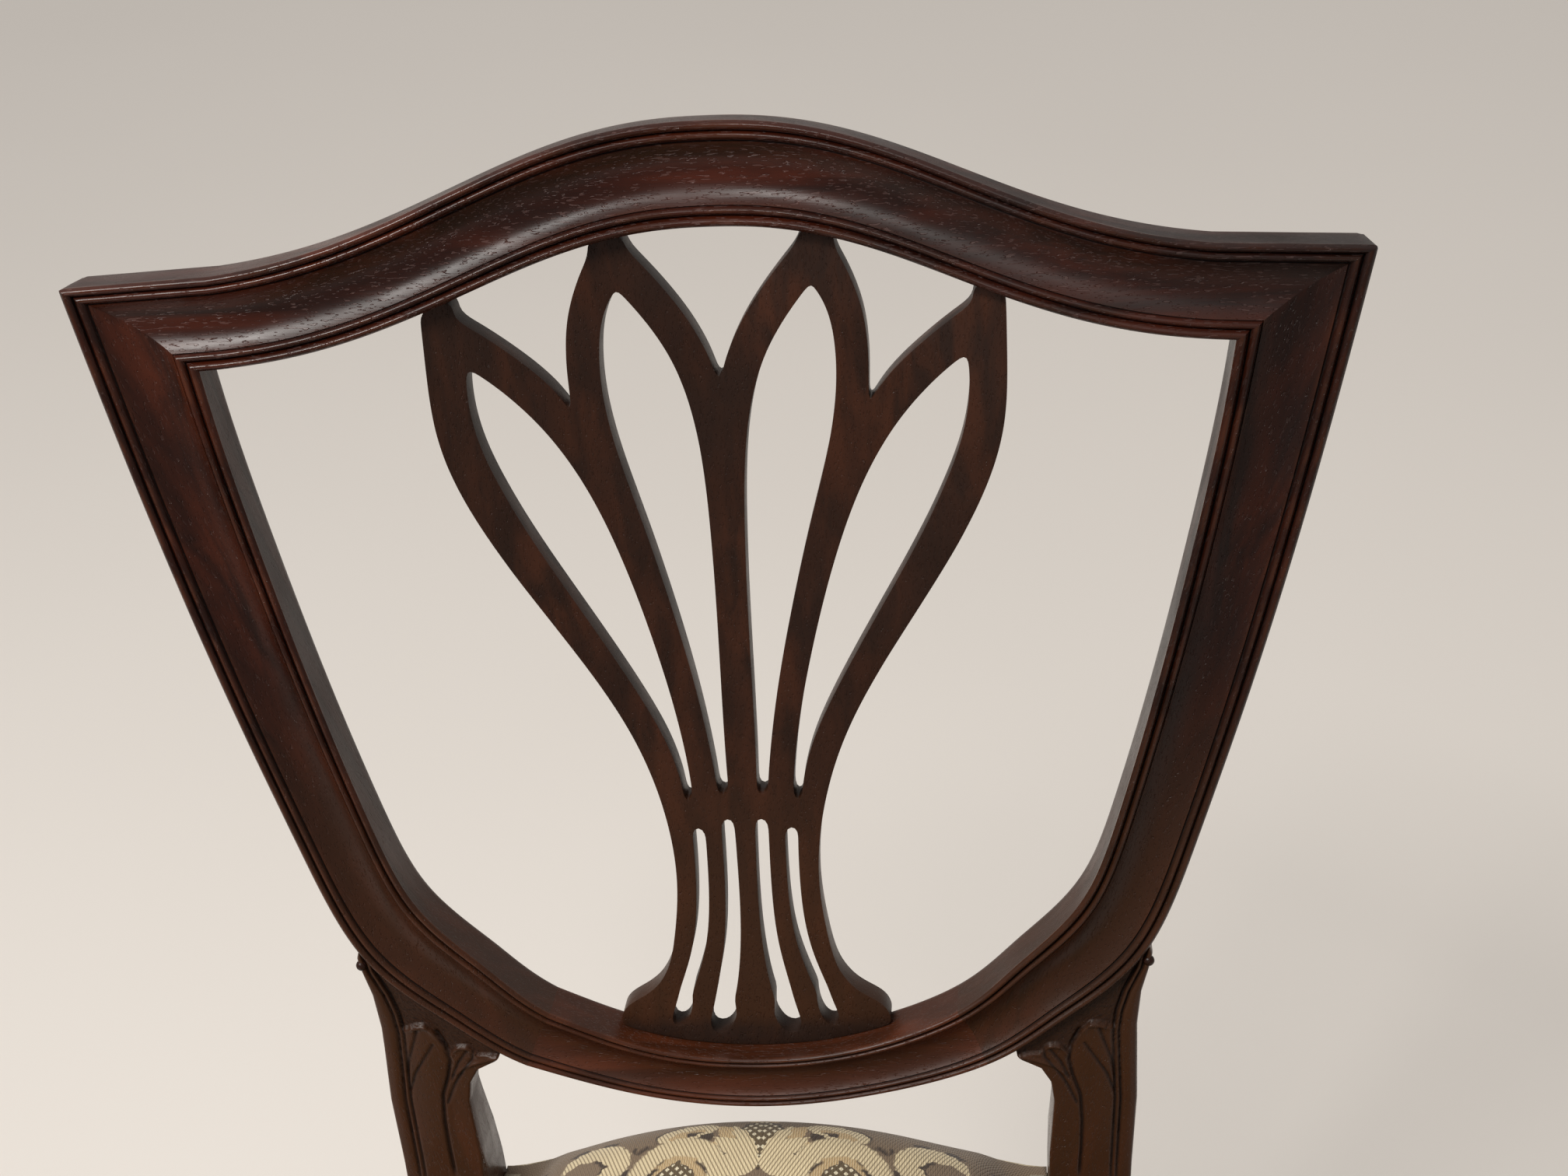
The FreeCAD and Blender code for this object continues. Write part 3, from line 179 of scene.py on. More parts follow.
def crest_hollow(x):
    """How far the crest's face lies behind the shield's plane."""
    if abs(x) >= OPENING_HALF:
        return 0
    return CREST_BOW * (0.5 + 0.5 * math.cos(math.pi * x / OPENING_HALF))


def mitre_pair(side):
    return (Vector((HALF_WIDTH * side, crest_top(HALF_WIDTH), 0)),
            Vector((OPENING_HALF * side, crest_under(OPENING_HALF), 0)))


def shield_edges(side):
    wide = HALF_WIDTH * side
    far = [(-a, b, -c, d) for a, b, c, d in (STILE_PAIRS[-1:] + RAIL_PAIRS[:-1])[::-1]]
    outer, inner = [[corner] for corner in mitre_pair(side)]
    for a, b, c, d in STILE_PAIRS + RAIL_PAIRS + far:
        outer.append(Vector((a * wide, b * DROP, 0)))
        inner.append(Vector((c * wide, d * DROP, 0)))
    return natural_spline(outer), natural_spline(inner)


lowest = shield_edges(1)[0](SHIELD_MIDDLE)
print("lowest shield edge", [round(v, 1) for v in lowest])

# %% [markdown]
# ## The moulding
# The face of the shield is run with two beads, a wide hollow and two more beads,
# with narrow quirks between them where polish and dust have gone dark. The
# section is a list of points from the outer edge to the inner one, then round
# the back. Each point also says how dark its groove is and how worn it is, and
# the wood's material reads both.

# %% Draw the moulding's section
FULL_WIDTH = 41
BEAD_FLATS = 8
HOLLOW_FLATS = 26
# Start, middle and end of each bead, as the share of the width and the sink.
BEADS = [((0, 1.9), (0.045, 0.1), (0.088, 1.5), BEAD_FLATS),
         ((0.102, 2.5), (0.142, 0.9), (0.183, 2.3), BEAD_FLATS),
         ((0.212, 3), (0.51, 7.8), (0.8, 3.1), HOLLOW_FLATS),
         ((0.812, 2.3), (0.85, 0.8), (0.888, 2.2), BEAD_FLATS),
         ((0.902, 2.7), (0.95, 0.3), (1, 1.9), BEAD_FLATS)]
QUIRKS = [(0.095, 3.2), (0.196, 3.6), (0.806, 3.6), (0.895, 3.4)]
BEAD_GRIME = 0.2
HOLLOW_WEAR = 0.7


def section_plan():
    """Face points as share, sink, groove, wear and sharpness."""
    plan = []
    for number, (start, middle, end, flats) in enumerate(BEADS):
        hollow = flats == HOLLOW_FLATS
        for step in range(flats + 1):
            t = step / flats
            k = 4 * t * (1 - t)
            share = start[0] + (end[0] - start[0]) * t
            sink = start[1] + (end[1] - start[1]) * t
            sink += (middle[1] - 0.5 * (start[1] + end[1])) * k
            at_end = step in (0, flats)
            groove = 0 if hollow else BEAD_GRIME * (1 - k) ** 2
            wear = (1 - k) ** 6 * HOLLOW_WEAR if hollow else k ** 3
            if number == 0 and step == 0 or number == 4 and step == flats:
                groove, wear = 0, 1
            plan.append((share, sink, groove, wear, at_end))
        if number < len(QUIRKS):
            plan.append((*QUIRKS[number], 1, 0, True))
    return plan


FACE = section_plan()
BACK_STEPS = 8
BACK_WEAR = 0.25
INNER_EDGE, OUTER_EDGE = 3.2, 3.4
# The inner corner of the back: inset from the side, lift from the back, wear.
INNER_CORNER = ((0, 3, 0), (0, 1.2, 0.4), (0.35, 0.35, 0.9), (1.2, 0, 0.4), (3, 0, 0))


def moulded_ring(outer, inner, depth, back_round, width):
    """A closed section of the frame between its two edges."""
    across = inner - outer
    relief = width / FULL_WIDTH

    def at(share, sink):
        return outer + across * share - Vector((0, 0, sink))

    ring = [(at(share, sink * relief), groove, wear, sharp)
            for share, sink, groove, wear, sharp in FACE]
    length = across.length
    ring += [(at(1, sink), 0, 0, False) for sink in (INNER_EDGE, depth * 0.5)]
    ring += [(at(1 - inset / length, depth - lift), 0, wear, False)
             for inset, lift, wear in INNER_CORNER]
    for step in range(BACK_STEPS + 1):
        bend = 0.5 * math.pi * step / BACK_STEPS
        share = back_round * (1 - math.sin(bend)) / length
        sink = depth - back_round * (1 - math.cos(bend))
        ring.append((at(share, sink), 0, BACK_WEAR * math.sin(2 * bend), False))
    ring += [(at(0, sink), 0, 0, False)
             for sink in ((depth - back_round) * 0.5, OUTER_EDGE)]
    return ring


CREST_DEPTH = 22
STILE_ROUND = 1.6
print("points in a section",
      len(moulded_ring(*mitre_pair(1), CREST_DEPTH, STILE_ROUND, FULL_WIDTH)))

# %% [markdown]
# ## Sweeping sections
# A real moulding is run along its rail with a plane, so each section follows the
# last. Here a ring of vertices is extruded edge by edge and each new ring is
# set on the next section. Darkness, wear and fading go with it as a colour
# attribute, and the corners of the section stay sharp.

# %% Make a piece from rings
def new_drawing():
    """An empty drawing, and the layer for its grooves, painted shade, wear and fading."""
    bm = bmesh.new()
    return bm, bm.verts.layers.float_color.new("finish")


def new_object(bm, name):
    mesh = bpy.data.meshes.new(name)
    bm.to_mesh(mesh)
    bm.free()
    return add_object(name, mesh)


def sweep(bm, rings, layer, faded=lambda spot: 0):
    """Extrude the first ring through all the others and close both ends."""
    def put(vert, point):
        vert.co = point[0]
        vert[layer] = (point[1], point[2], faded(point[0]), 1)
        return vert

    verts = [put(bm.verts.new(), point) for point in rings[0]]
    count = len(verts)
    edges = [bm.edges.new((verts[i], verts[(i + 1) % count])) for i in range(count)]
    loops = [edges]
    for ring in rings[1:]:
        made = bmesh.ops.extrude_edge_only(bm, edges=edges)["geom"]
        fresh = {item for item in made if isinstance(item, bmesh.types.BMVert)}
        following = []
        for vert, point in zip(verts, ring):
            rail = next(e for e in vert.link_edges if e.other_vert(vert) in fresh)
            rail.smooth = not point[3]
            following.append(put(rail.other_vert(vert), point))
        verts = following
        edges = [bm.edges.get((verts[i], verts[(i + 1) % count])) for i in range(count)]
    loops.append(edges)
    for loop in loops:
        cap = bmesh.ops.contextual_create(bm, geom=loop)["faces"]
        for edge in loop:
            edge.smooth = False
        bmesh.ops.triangulate(bm, faces=cap)


def finish_piece(bm, name, matrix):
    """Place the drawing, point its faces outwards and smooth it."""
    bmesh.ops.transform(bm, matrix=matrix, verts=bm.verts)
    bmesh.ops.recalc_face_normals(bm, faces=bm.faces)
    for face in bm.faces:
        face.smooth = True
    piece = new_object(bm, name)
    print(name, len(piece.data.polygons), "faces")
    return piece


def mixed_ring(first, second, share):
    return [(a[0].lerp(b[0], share), *a[1:]) for a, b in zip(first, second)]


# %% [markdown]
# ## Crest rail
# The crest is sawn from one thick plank: humped in the middle, bowed back in
# plan, with a rounded back edge. Its sections stand upright along x and turn
# into the mitre's line at each ear. The ears' corners are rounded a little, and
# the right end is darkened with painted shade.

# %% Model the crest
CREST_STEPS = 110
CREST_END = 0.96
CREST_ROUND = 10
RIGHT_END_SHADE = 0.45
RIGHT_SHADE_START = -5
RIGHT_SHADE_RUN = 160
EAR_STEPS = 10
EAR_CROWDING = 1.5
EAR_REACH = 20
EAR_PLACE = 0.2
EAR_FACE_ROUND = 1.2
EAR_BACK_ROUND = 4.2


def crest_ring(x):
    sink = Vector((0, 0, crest_hollow(x)))
    share = crest_hollow(x) / CREST_BOW
    back_round = STILE_ROUND + (CREST_ROUND - STILE_ROUND) * share
    return moulded_ring(Vector((x, crest_top(x), 0)) - sink,
                        Vector((x, crest_under(x), 0)) - sink, CREST_DEPTH, back_round, FULL_WIDTH)


def round_ear(bm, side):
    """Ease the ear's corner, more at its back than at its face."""
    corner, _ = mitre_pair(side)
    beside = corner.x - EAR_REACH * side
    along_top = (Vector((beside, crest_top(beside), 0)) - corner).normalized()
    down = (shield_edges(side)[0](EAR_PLACE) - corner).normalized()
    half = 0.5 * down.angle(along_top)
    inward = (down + along_top).normalized()
    for vert in bm.verts:
        share = clamped(-vert.co.z / CREST_DEPTH)
        radius = EAR_FACE_ROUND + (EAR_BACK_ROUND - EAR_FACE_ROUND) * share
        middle = corner + inward * radius / math.sin(half)
        off = Vector((vert.co.x, vert.co.y, 0)) - middle
        if off.length > radius and off.angle(-inward, 0) < 0.5 * math.pi - half:
            spot = middle + off.normalized() * radius
            vert.co.x, vert.co.y = spot.x, spot.y


def build_crest():
    bm, layer = new_drawing()
    span = OPENING_HALF * CREST_END
    ears = {}
    for side in (1, -1):
        mitre = moulded_ring(*mitre_pair(side), CREST_DEPTH, STILE_ROUND, FULL_WIDTH)
        ears[side] = [mixed_ring(mitre, crest_ring(span * side), (k / EAR_STEPS) ** EAR_CROWDING)
                      for k in range(EAR_STEPS)]
    rings = [crest_ring(span * (2 * k / CREST_STEPS - 1)) for k in range(CREST_STEPS + 1)]
    sweep(bm, ears[-1] + rings + ears[1][::-1], layer)
    for side in ears:
        round_ear(bm, side)
    # Painted shade: the crest grows darker towards its right ear.
    for vert in bm.verts:
        right_shade = RIGHT_END_SHADE * ease(vert.co.x, RIGHT_SHADE_START, RIGHT_SHADE_RUN)
        vert[layer].x = max(vert[layer].x, right_shade)
    return finish_piece(bm, "crest_moulding", BACK)


crest = build_crest()

# %% [markdown]
# ## Lower rail and stiles
# The lower rail closes the shield in a lighter, redder cut of the same wood.
# The stiles run on from the mitre to the joint with it. Both follow the two
# edge lines, so one function makes either from a start and an end place.

# %% Model the lower rail
LOWER_DEPTH = 26
RAIL_STEPS = 60
RAIL_FADE = 0.35


def shield_rings(side, start, end, steps, closer=1):
    outer, inner = shield_edges(side)
    rings = []
    for k in range(steps + 1):
        place = start + (end - start) * (k / steps) ** closer
        a, b = outer(place), inner(place)
        width = min((b - a).length, FULL_WIDTH)
        share = min(place, 2 * SHIELD_MIDDLE - place) / SHIELD_MIDDLE
        depth = CREST_DEPTH + share * (LOWER_DEPTH - CREST_DEPTH)
        rings.append(moulded_ring(a, b, depth, STILE_ROUND, width))
    return rings


def build_lower_rail():
    bm, layer = new_drawing()
    sweep(bm, shield_rings(1, STILE_END, 2 * SHIELD_MIDDLE - STILE_END, RAIL_STEPS), layer,
          lambda spot: RAIL_FADE)
    return finish_piece(bm, "lower_rail_moulding", BACK)


lower_rail = build_lower_rail()

# %% [markdown]
# ## Rear legs with carved posts
# Each rear leg is one stick: a swept square leg, a post with carved leaves, and
# the stile above it. The post is a stack of rings from the floor up. The front
# of each ring has many points, so that leaves, reed and grooves can be pressed
# into it as real depth.

# %% Draw the post's carving
POST_OUTSIDE = [(-312, 166), (-285, 167.2), (-250, 169.6), (-212, 169.6), (-195, 171.5),
                (-181, 175.3), (-176, 176.2), (-169, 174.2)]
POST_INSIDE = [(-312, 130), (-280, 130.5), (-252, 132.8), (-242, 131.5), (-234.5, 127),
               (-230, 118), (-226, 116), (-221, 117.5), (-198, 147.5), (-180, 163.5),
               (-169, 171.5)]
REED_INSIDE = [(-300, 160), (-285, 160.5), (-250, 162.3), (-230, 161.8), (-215, 161.6),
               (-205, 163), (-195, 166), (-183, 171.5), (-169, 174.5)]
LEAF_TOP = [(116, -227), (127, -226.5), (128.6, -224), (131, -221.8), (136, -222.3),
            (139.4, -226.5), (141.5, -221), (145, -214.8), (149, -210.6), (154, -210.9),
            (159, -212.5), (163, -214)]
GROOVES = [
    ([(144.2, -215), (140.8, -222), (139.6, -230), (141.2, -238), (144.6, -248), (145.3, -262),
      (144.8, -276), (143.8, -290)], 0.75, 1.5),
    ([(153, -213.5), (155.5, -221), (158.3, -229), (160.3, -240)], 0.6, 0.8),
    ([(146.5, -221), (151, -228), (156, -236), (159.6, -246)], 0.6, 0.8),
    ([(131.5, -225), (136, -231), (139.6, -239)], 0.6, 0.9),
    ([(128.4, -224.5), (129.2, -229), (133.5, -234), (138.5, -242), (142.8, -252)], 0.6, 0.7),
]
CURLS = [([(117, -228), (125, -230), (132, -232.5), (137.5, -236.5)], 0.9, 1.1),
         ([(148.5, -211.5), (151, -211), (155, -212.2)], 0.8, 0.9),
         ([(131, -222.8), (134, -222.4), (137, -223.6)], 0.8, 0.9)]
GROUND = 3.2
CARVED_FROM = -312
REED_HEIGHT, REED_EDGE = 1.9, 0.35
STRIP_HEIGHT, STRIP_WIDE = 0.5, 2.4
CROWN_X, CROWN_HALF, CROWN_HEIGHT, CROWN_SIDE = 152, 11, 0.9, 140
SUNK_DEPTH, SUNK_DARK = 1.3, 0.45
STIPPLE_SIZE, STIPPLE_DEPTH, STIPPLE_DARK = 1.1, 0.3, 0.5
LIP_HEIGHT, LIP_REACH = 0.7, 2.2
LINE_DEPTH, LINE_HALF, LINE_GAP = 1.1, 0.55, 2.5
GROOVE_DARK = 0.9


def along(points, key):
    """Read a value off a list of places, straight between them."""
    if key <= points[0][0]:
        return points[0][1]
    for (a, va), (b, vb) in zip(points, points[1:]):
        if key <= b:
            return va + (vb - va) * (key - a) / (b - a)
    return points[-1][1]


def gap_to(x, s, points):
    """Distance from a spot to a line of points."""
    best = 1e9
    for (ax, ay), (bx, by) in zip(points, points[1:]):
        dx, dy = bx - ax, by - ay
        t = clamped(((x - ax) * dx + (s - ay) * dy) / (dx * dx + dy * dy))
        best = min(best, math.hypot(x - ax - dx * t, s - ay - dy * t))
    return best


def bell(distance, width):
    return math.exp(-(distance / width) ** 2)


def carving(x, s):
    """Height of the carving above the post's plain face, and how dark it is."""
    fade = ease(s, -305, 60)
    reed = along(REED_INSIDE, s)
    outside = along(POST_OUTSIDE, s)
    height, dark = 0, 0
    if x > reed:
        half = max(0.5 * (outside - reed), 0.5)
        across = min(abs(x - reed - half) / half, 1)
        height += fade * REED_HEIGHT * (math.sqrt(1 - across * across) - REED_EDGE)
    else:
        strip = ease(x - reed, -STRIP_WIDE, 0.5)
        height += fade * STRIP_HEIGHT * strip
        crown = min(abs(x - CROWN_X) / CROWN_HALF, 1)
        if x > CROWN_SIDE and strip == 0:
            height += fade * CROWN_HEIGHT * (1 - crown ** 2)
        top = along(LEAF_TOP, x)
        sunk = ease(s - top, -0.5, 0.9) * (1 - strip)
        stipple = noise.noise(Vector((x * STIPPLE_SIZE, s * STIPPLE_SIZE, 3)))
        height = height * (1 - sunk) + sunk * (-SUNK_DEPTH + STIPPLE_DEPTH * stipple)
        dark = max(dark, sunk * (SUNK_DARK + STIPPLE_DARK * stipple))
        if s < top:
            height += LIP_HEIGHT * bell(top - s, LIP_REACH) * (1 - strip)
    for edge in (reed, reed - LINE_GAP):
        line = bell(x - edge, LINE_HALF) * ease(s, CARVED_FROM, 30)
        height -= LINE_DEPTH * line
        dark = max(dark, line)
    if x < reed - 2:
        for points, width, depth in GROOVES:
            line = bell(gap_to(x, s, points), width)
            height -= depth * line
            dark = max(dark, GROOVE_DARK * line)
        for points, width, rise in CURLS:
            height += rise * bell(gap_to(x, s, points), width)
    return height, min(dark, 1)


print("carving at the leaf's tip", [round(v, 2) for v in carving(150, -213)])

# %% Model the rear legs
RAIL_BOTTOM = 372
RAIL_MIDDLE = 410
KNEE = 460
KNEE_RUN = 20
LEG_DEPTH = 40
SWEEP_FRONT, SWEEP_BACK = 62, 50
POST_DEPTH = 24.5
NECK, NECK_RUN = -237.5, 68.5
LEG_STEPS, POST_STEPS, NECK_STEPS = 14, 80, 90
KNEE_SHARE = 0.3
ORIGIN_Y = 60.92


def to_plane(s, n):
    """A spot of the back's middle plane as y and z of the CAD's drawing."""
    y = ORIGIN_Y + s * math.sin(LEAN) - n * math.cos(LEAN)
    return y, ZERO_HEIGHT / MM + s * math.cos(LEAN) + n * math.sin(LEAN)


def bezier(a, b, c, d, t):
    u = 1 - t
    return tuple(u ** 3 * p + 3 * u * u * t * q + 3 * u * t * t * r + t ** 3 * w
                 for p, q, r, w in zip(a, b, c, d))


def leg_levels():
    """Front and back of the leg, from the floor to the top of the post."""
    levels = []
    for k in range(LEG_STEPS + 1):
        z = RAIL_BOTTOM * k / LEG_STEPS
        low = (1 - z / RAIL_BOTTOM) ** 2
        levels.append(((SWEEP_FRONT * low, z), (LEG_DEPTH + SWEEP_BACK * low, z)))
    levels.append(((0, RAIL_MIDDLE), (LEG_DEPTH, RAIL_MIDDLE)))
    run_y, run_z = KNEE_RUN * math.sin(LEAN), KNEE_RUN * math.cos(LEAN)
    knee_end = (run_y, KNEE + run_z)
    start_s = (knee_end[1] - ZERO_HEIGHT / MM + GROUND * math.sin(LEAN)) / math.cos(LEAN)
    hollow = to_plane(NECK, -POST_DEPTH)
    pull = (hollow[0] - run_y, hollow[1] - run_z)
    for k in range(POST_STEPS + 1):
        t = k / POST_STEPS
        if t < KNEE_SHARE:
            front = bezier((0, KNEE - KNEE_RUN), (0, KNEE), (0, KNEE), knee_end, t / KNEE_SHARE)
        else:
            share = (NECK - start_s) * (t - KNEE_SHARE)
            front = to_plane(start_s + share / (1 - KNEE_SHARE), -GROUND)
        back = bezier((LEG_DEPTH, KNEE - 10), (LEG_DEPTH, KNEE + 10), pull, hollow, t)
        levels.append((front, back))
    for k in range(1, NECK_STEPS + 1):
        s = NECK + NECK_RUN * k / NECK_STEPS
        levels.append((to_plane(s, -GROUND), to_plane(s, -POST_DEPTH)))
    return levels


FRONT_POINTS = 74
STILE_STEPS = 96
STILE_CROWDING = 1.3
STILE_FADE = 0.7
FADE_START = 20
FADE_RUN = 150
SPREAD_OUTSIDE, SPREAD_INSIDE = 8, 16
RIM_ROUND, RIM_WEAR, RIM_WORN = 1.2, 0.8, 0.8
LEG_WEAR = 0.3
LEG_ROUND = 1.6
KNOB_SPOT = (174.4, -179.5, -3.4)
KNOB_RADIUS = 2.5
KNOB_WEAR_AND_SHINE = 0.6


def leg_ring(level):
    """One ring of the leg: carved front, plain sides and rounded back corners."""
    (front_y, z), (back_y, back_z) = level
    s = (z - ZERO_HEIGHT / MM + GROUND * math.sin(LEAN)) / math.cos(LEAN)
    low = max(1 - z / RAIL_BOTTOM, 0)
    outside = along(POST_OUTSIDE, s) + SPREAD_OUTSIDE * low
    inside = along(POST_INSIDE, s) + SPREAD_INSIDE * low
    ring = []
    for k in range(FRONT_POINTS + 1):
        x = outside + (inside - outside) * k / FRONT_POINTS
        height, dark = carving(x, s) if s > CARVED_FROM else (0, 0)
        rim = min(abs(x - outside), abs(x - inside))
        bend = 1 - min(rim / RIM_ROUND, 1)
        height -= RIM_ROUND * (1 - math.sqrt(max(1 - bend ** 2, 0)))
        spot = Vector((x, front_y - height * math.cos(LEAN), z + height * math.sin(LEAN)))
        ring.append((spot, dark, RIM_WEAR * bell(rim, RIM_WORN), False))
    run = Vector((0, back_y - front_y, back_z - z))
    bend = LEG_ROUND / run.length
    front = Vector((0, front_y, z))
    corner = ((0.3, 0), (0.65, 0), (1 - bend, 0), (1 - 0.3 * bend, 0.5), (1, LEG_ROUND))
    places = [(share, inside + inset) for share, inset in corner]
    places += [(share, outside - inset) for share, inset in reversed(corner)]
    ring += [(front + run * share + Vector((x, 0, 0)), 0, LEG_WEAR, False)
             for share, x in places]
    return ring


def build_rear_leg(side, name):
    bm, layer = new_drawing()
    sweep(bm, [leg_ring(level) for level in leg_levels()], layer, lambda spot: 1)
    bmesh.ops.transform(bm, matrix=BACK.inverted() @ CHAIR, verts=bm.verts)
    sweep(bm, shield_rings(1, 0, STILE_END, STILE_STEPS, STILE_CROWDING), layer,
          lambda spot: STILE_FADE * ease(-spot.y, FADE_START, FADE_RUN))
    made = bmesh.ops.create_icosphere(bm, subdivisions=3, radius=KNOB_RADIUS,
                                      matrix=Matrix.Translation(KNOB_SPOT))
    # The knob is painted lighter, partly as rubbed wear and partly as a painted highlight of its
    # shine.
    for vert in made["verts"]:
        vert[layer] = (0, KNOB_WEAR_AND_SHINE, 0, 1)
    round_ear(bm, 1)
    if side < 0:
        bmesh.ops.transform(bm, matrix=Matrix.Scale(-1, 4, (1, 0, 0)), verts=bm.verts)
    return finish_piece(bm, name, BACK)


rear_legs = {name: build_rear_leg(side, name + "_post_and_stile")
             for name, side in (("right", 1), ("left", -1))}

# %% [markdown]
# ## Splat
# The splat is one sawn and pierced board that bends back towards its top. The
# CAD solid already has its outline, so the edge of its front face is taken from
# a copy, eased into smooth curves and filled again. Narrow bands let the face
# follow the bend, then it is pushed back to the board's thickness and all its
# edges are rounded as sandpaper leaves them.

# %% Model the splat
SPLAT_HALF = 118.6
SPLAT_THICK = 12
SPLAT_FOOT = 0.902 * DROP
SPLAT_TOP = UNDER_HUMP[0] + UNDER_HUMP[1]
FOOT_SINK, SINK_RISE = 13, 26
FRONT_SLACK = 0.8
RIM_STEP = 3
RIM_CORNER = math.radians(13)
RIM_ARRIS, RIM_AGE = 0.8, 0.6
SLOT_MIDDLES = (16.5, 35.2)
SLOT_REACH, SLOT_FLOOR, SLOT_START, SLOT_RUN = 8, -221, 198, 15
SLOT_WIDER, SLOT_DEEPER = 0.4, 2.6
# Axis, start, end and step of the cuts that let the face bend.
BANDS = ((0, -117, 120, 4), (1, -225, 150, 6))
# Painted shade at the foot of the splat: its strength, start and run.
FOOT_SHADE, FOOT_SHADE_START, FOOT_SHADE_RUN = 0.6, 211, 10
SPLAT_FADE, SPLAT_FADE_START, SPLAT_FADE_RUN = 0.7, 60, 120


def splat_sink(x, s):
    share = (s + SPLAT_FOOT) / (SPLAT_TOP + SPLAT_FOOT)
    hollow = CREST_BOW - crest_hollow(SPLAT_HALF)
    return FOOT_SINK + share * (SINK_RISE - hollow * (x / SPLAT_HALF) ** 2)


def keep_front_rim(bm):
    """Leave only the outline of the board's front face, laid flat."""
    bmesh.ops.transform(bm, matrix=BACK.inverted(), verts=bm.verts)
    bmesh.ops.remove_doubles(bm, verts=bm.verts, dist=0.002)
    bm.normal_update()
    front = {face for face in bm.faces if face.normal.z > 0.6
             and max(abs(v.co.z + splat_sink(v.co.x, v.co.y)) for v in face.verts) < FRONT_SLACK}
    rim = {e for e in bm.edges if sum(face in front for face in e.link_faces) == 1}
    bmesh.ops.delete(bm, geom=bm.faces[:], context="FACES_ONLY")
    bmesh.ops.delete(bm, geom=[e for e in bm.edges if e not in rim], context="EDGES")
    bmesh.ops.delete(bm, geom=[v for v in bm.verts if not v.link_edges], context="VERTS")
    for vert in bm.verts:
        vert.co.z = 0


def ease_rim(bm):
    """Cut the outline finely and smooth it away from its corners."""
    for vert in bm.verts:
        vert.select = vert.calc_edge_angle(3) > RIM_CORNER
    corners = [vert for vert in bm.verts if vert.select]
    for _ in range(3):
        long = [edge for edge in bm.edges if edge.calc_length() > RIM_STEP]
        bmesh.ops.bisect_edges(bm, edges=long, cuts=1)
        held = set(corners)
        soft = [vert for vert in bm.verts if vert not in held]
        bmesh.ops.smooth_vert(bm, verts=soft, factor=0.5, use_axis_x=True, use_axis_y=True)


def cut_along(bm, spot, normal, dist):
    bmesh.ops.bisect_plane(bm, geom=bm.verts[:] + bm.edges[:] + bm.faces[:], dist=dist,
                           plane_co=spot, plane_no=normal)


def round_edges(bm, edges, offset, wear):
    """Round some edges and mark them as worn, but not the flat faces beside them."""
    rounded = set(bmesh.ops.bevel(bm, geom=edges, offset=offset, segments=3, profile=0.5,
                                  affect="EDGES", material=-1, clamp_overlap=True)["faces"])
    layer = bm.verts.layers.float_color.new("finish")
    for vert in bm.verts:
        inner = all(face in rounded for face in vert.link_faces)
        vert[layer] = (0, wear if inner else 0, 0, 1)
    return layer


def open_slot_feet(bm):
    """Saw the lower slots a little deeper and wider at their round ends."""
    for vert in bm.verts:
        for middle in SLOT_MIDDLES:
            off = abs(vert.co.x) - middle
            if abs(off) < SLOT_REACH and SLOT_FLOOR < vert.co.y:
                low = ease(-vert.co.y, SLOT_START, SLOT_RUN) * (1 - ease(abs(off), 5.5, 2.5))
                vert.co.x = math.copysign(middle + off * (1 + SLOT_WIDER * low), vert.co.x)
                vert.co.y -= SLOT_DEEPER * low


def build_splat():
    bm = bmesh.new()
    bm.from_mesh(nodes["splat"].data)
    keep_front_rim(bm)
    ease_rim(bm)
    open_slot_feet(bm)
    bmesh.ops.triangle_fill(bm, use_beauty=True, use_dissolve=False, edges=bm.edges[:],
                            normal=(0, 0, 1))
    for axis, start, end, step in BANDS:
        normal = Vector((axis == 0, axis == 1, 0))
        for k in range((end - start) // step):
            cut_along(bm, normal * (start + step * k), normal, 0.05)
    for vert in bm.verts:
        vert.co.z = -splat_sink(vert.co.x, vert.co.y)
    made = bmesh.ops.extrude_face_region(bm, geom=bm.faces[:])["geom"]
    back = [item for item in made if isinstance(item, bmesh.types.BMVert)]
    bmesh.ops.translate(bm, verts=back, vec=(0, 0, -SPLAT_THICK))
    bmesh.ops.recalc_face_normals(bm, faces=bm.faces)
    rims = [e for e in bm.edges if len(e.link_faces) == 2 and e.calc_face_angle(0) > 1
            and abs(e.link_faces[0].normal.z) + abs(e.link_faces[1].normal.z) > 0.7]
    layer = round_edges(bm, rims, RIM_ARRIS, RIM_AGE)
    # Painted shade darkens the splat's foot where it meets the lower rail.
    for vert in bm.verts:
        vert[layer].x = FOOT_SHADE * ease(-vert.co.y, FOOT_SHADE_START, FOOT_SHADE_RUN)
        vert[layer].z = SPLAT_FADE * ease(-vert.co.y, SPLAT_FADE_START, SPLAT_FADE_RUN)
    return finish_piece(bm, "pierced_splat", BACK)


splat = build_splat()

# %% [markdown]
# ## Legs and stretchers
# These are straight sticks, so the CAD shapes are right. Each is copied, its
# triangles are joined back into flat faces, and its sharp edges are rounded a
# little, because a real arris is never sharp and its light line shows.

# %% Ease the straight sticks
STICK_ARRIS, STICK_AGE = 1.4, 0.8
SHARP = math.radians(30)
STICKS = ("left_front_leg", "right_front_leg", "left_side_stretcher", "right_side_stretcher",
          "cross_stretcher", "rear_stretcher")


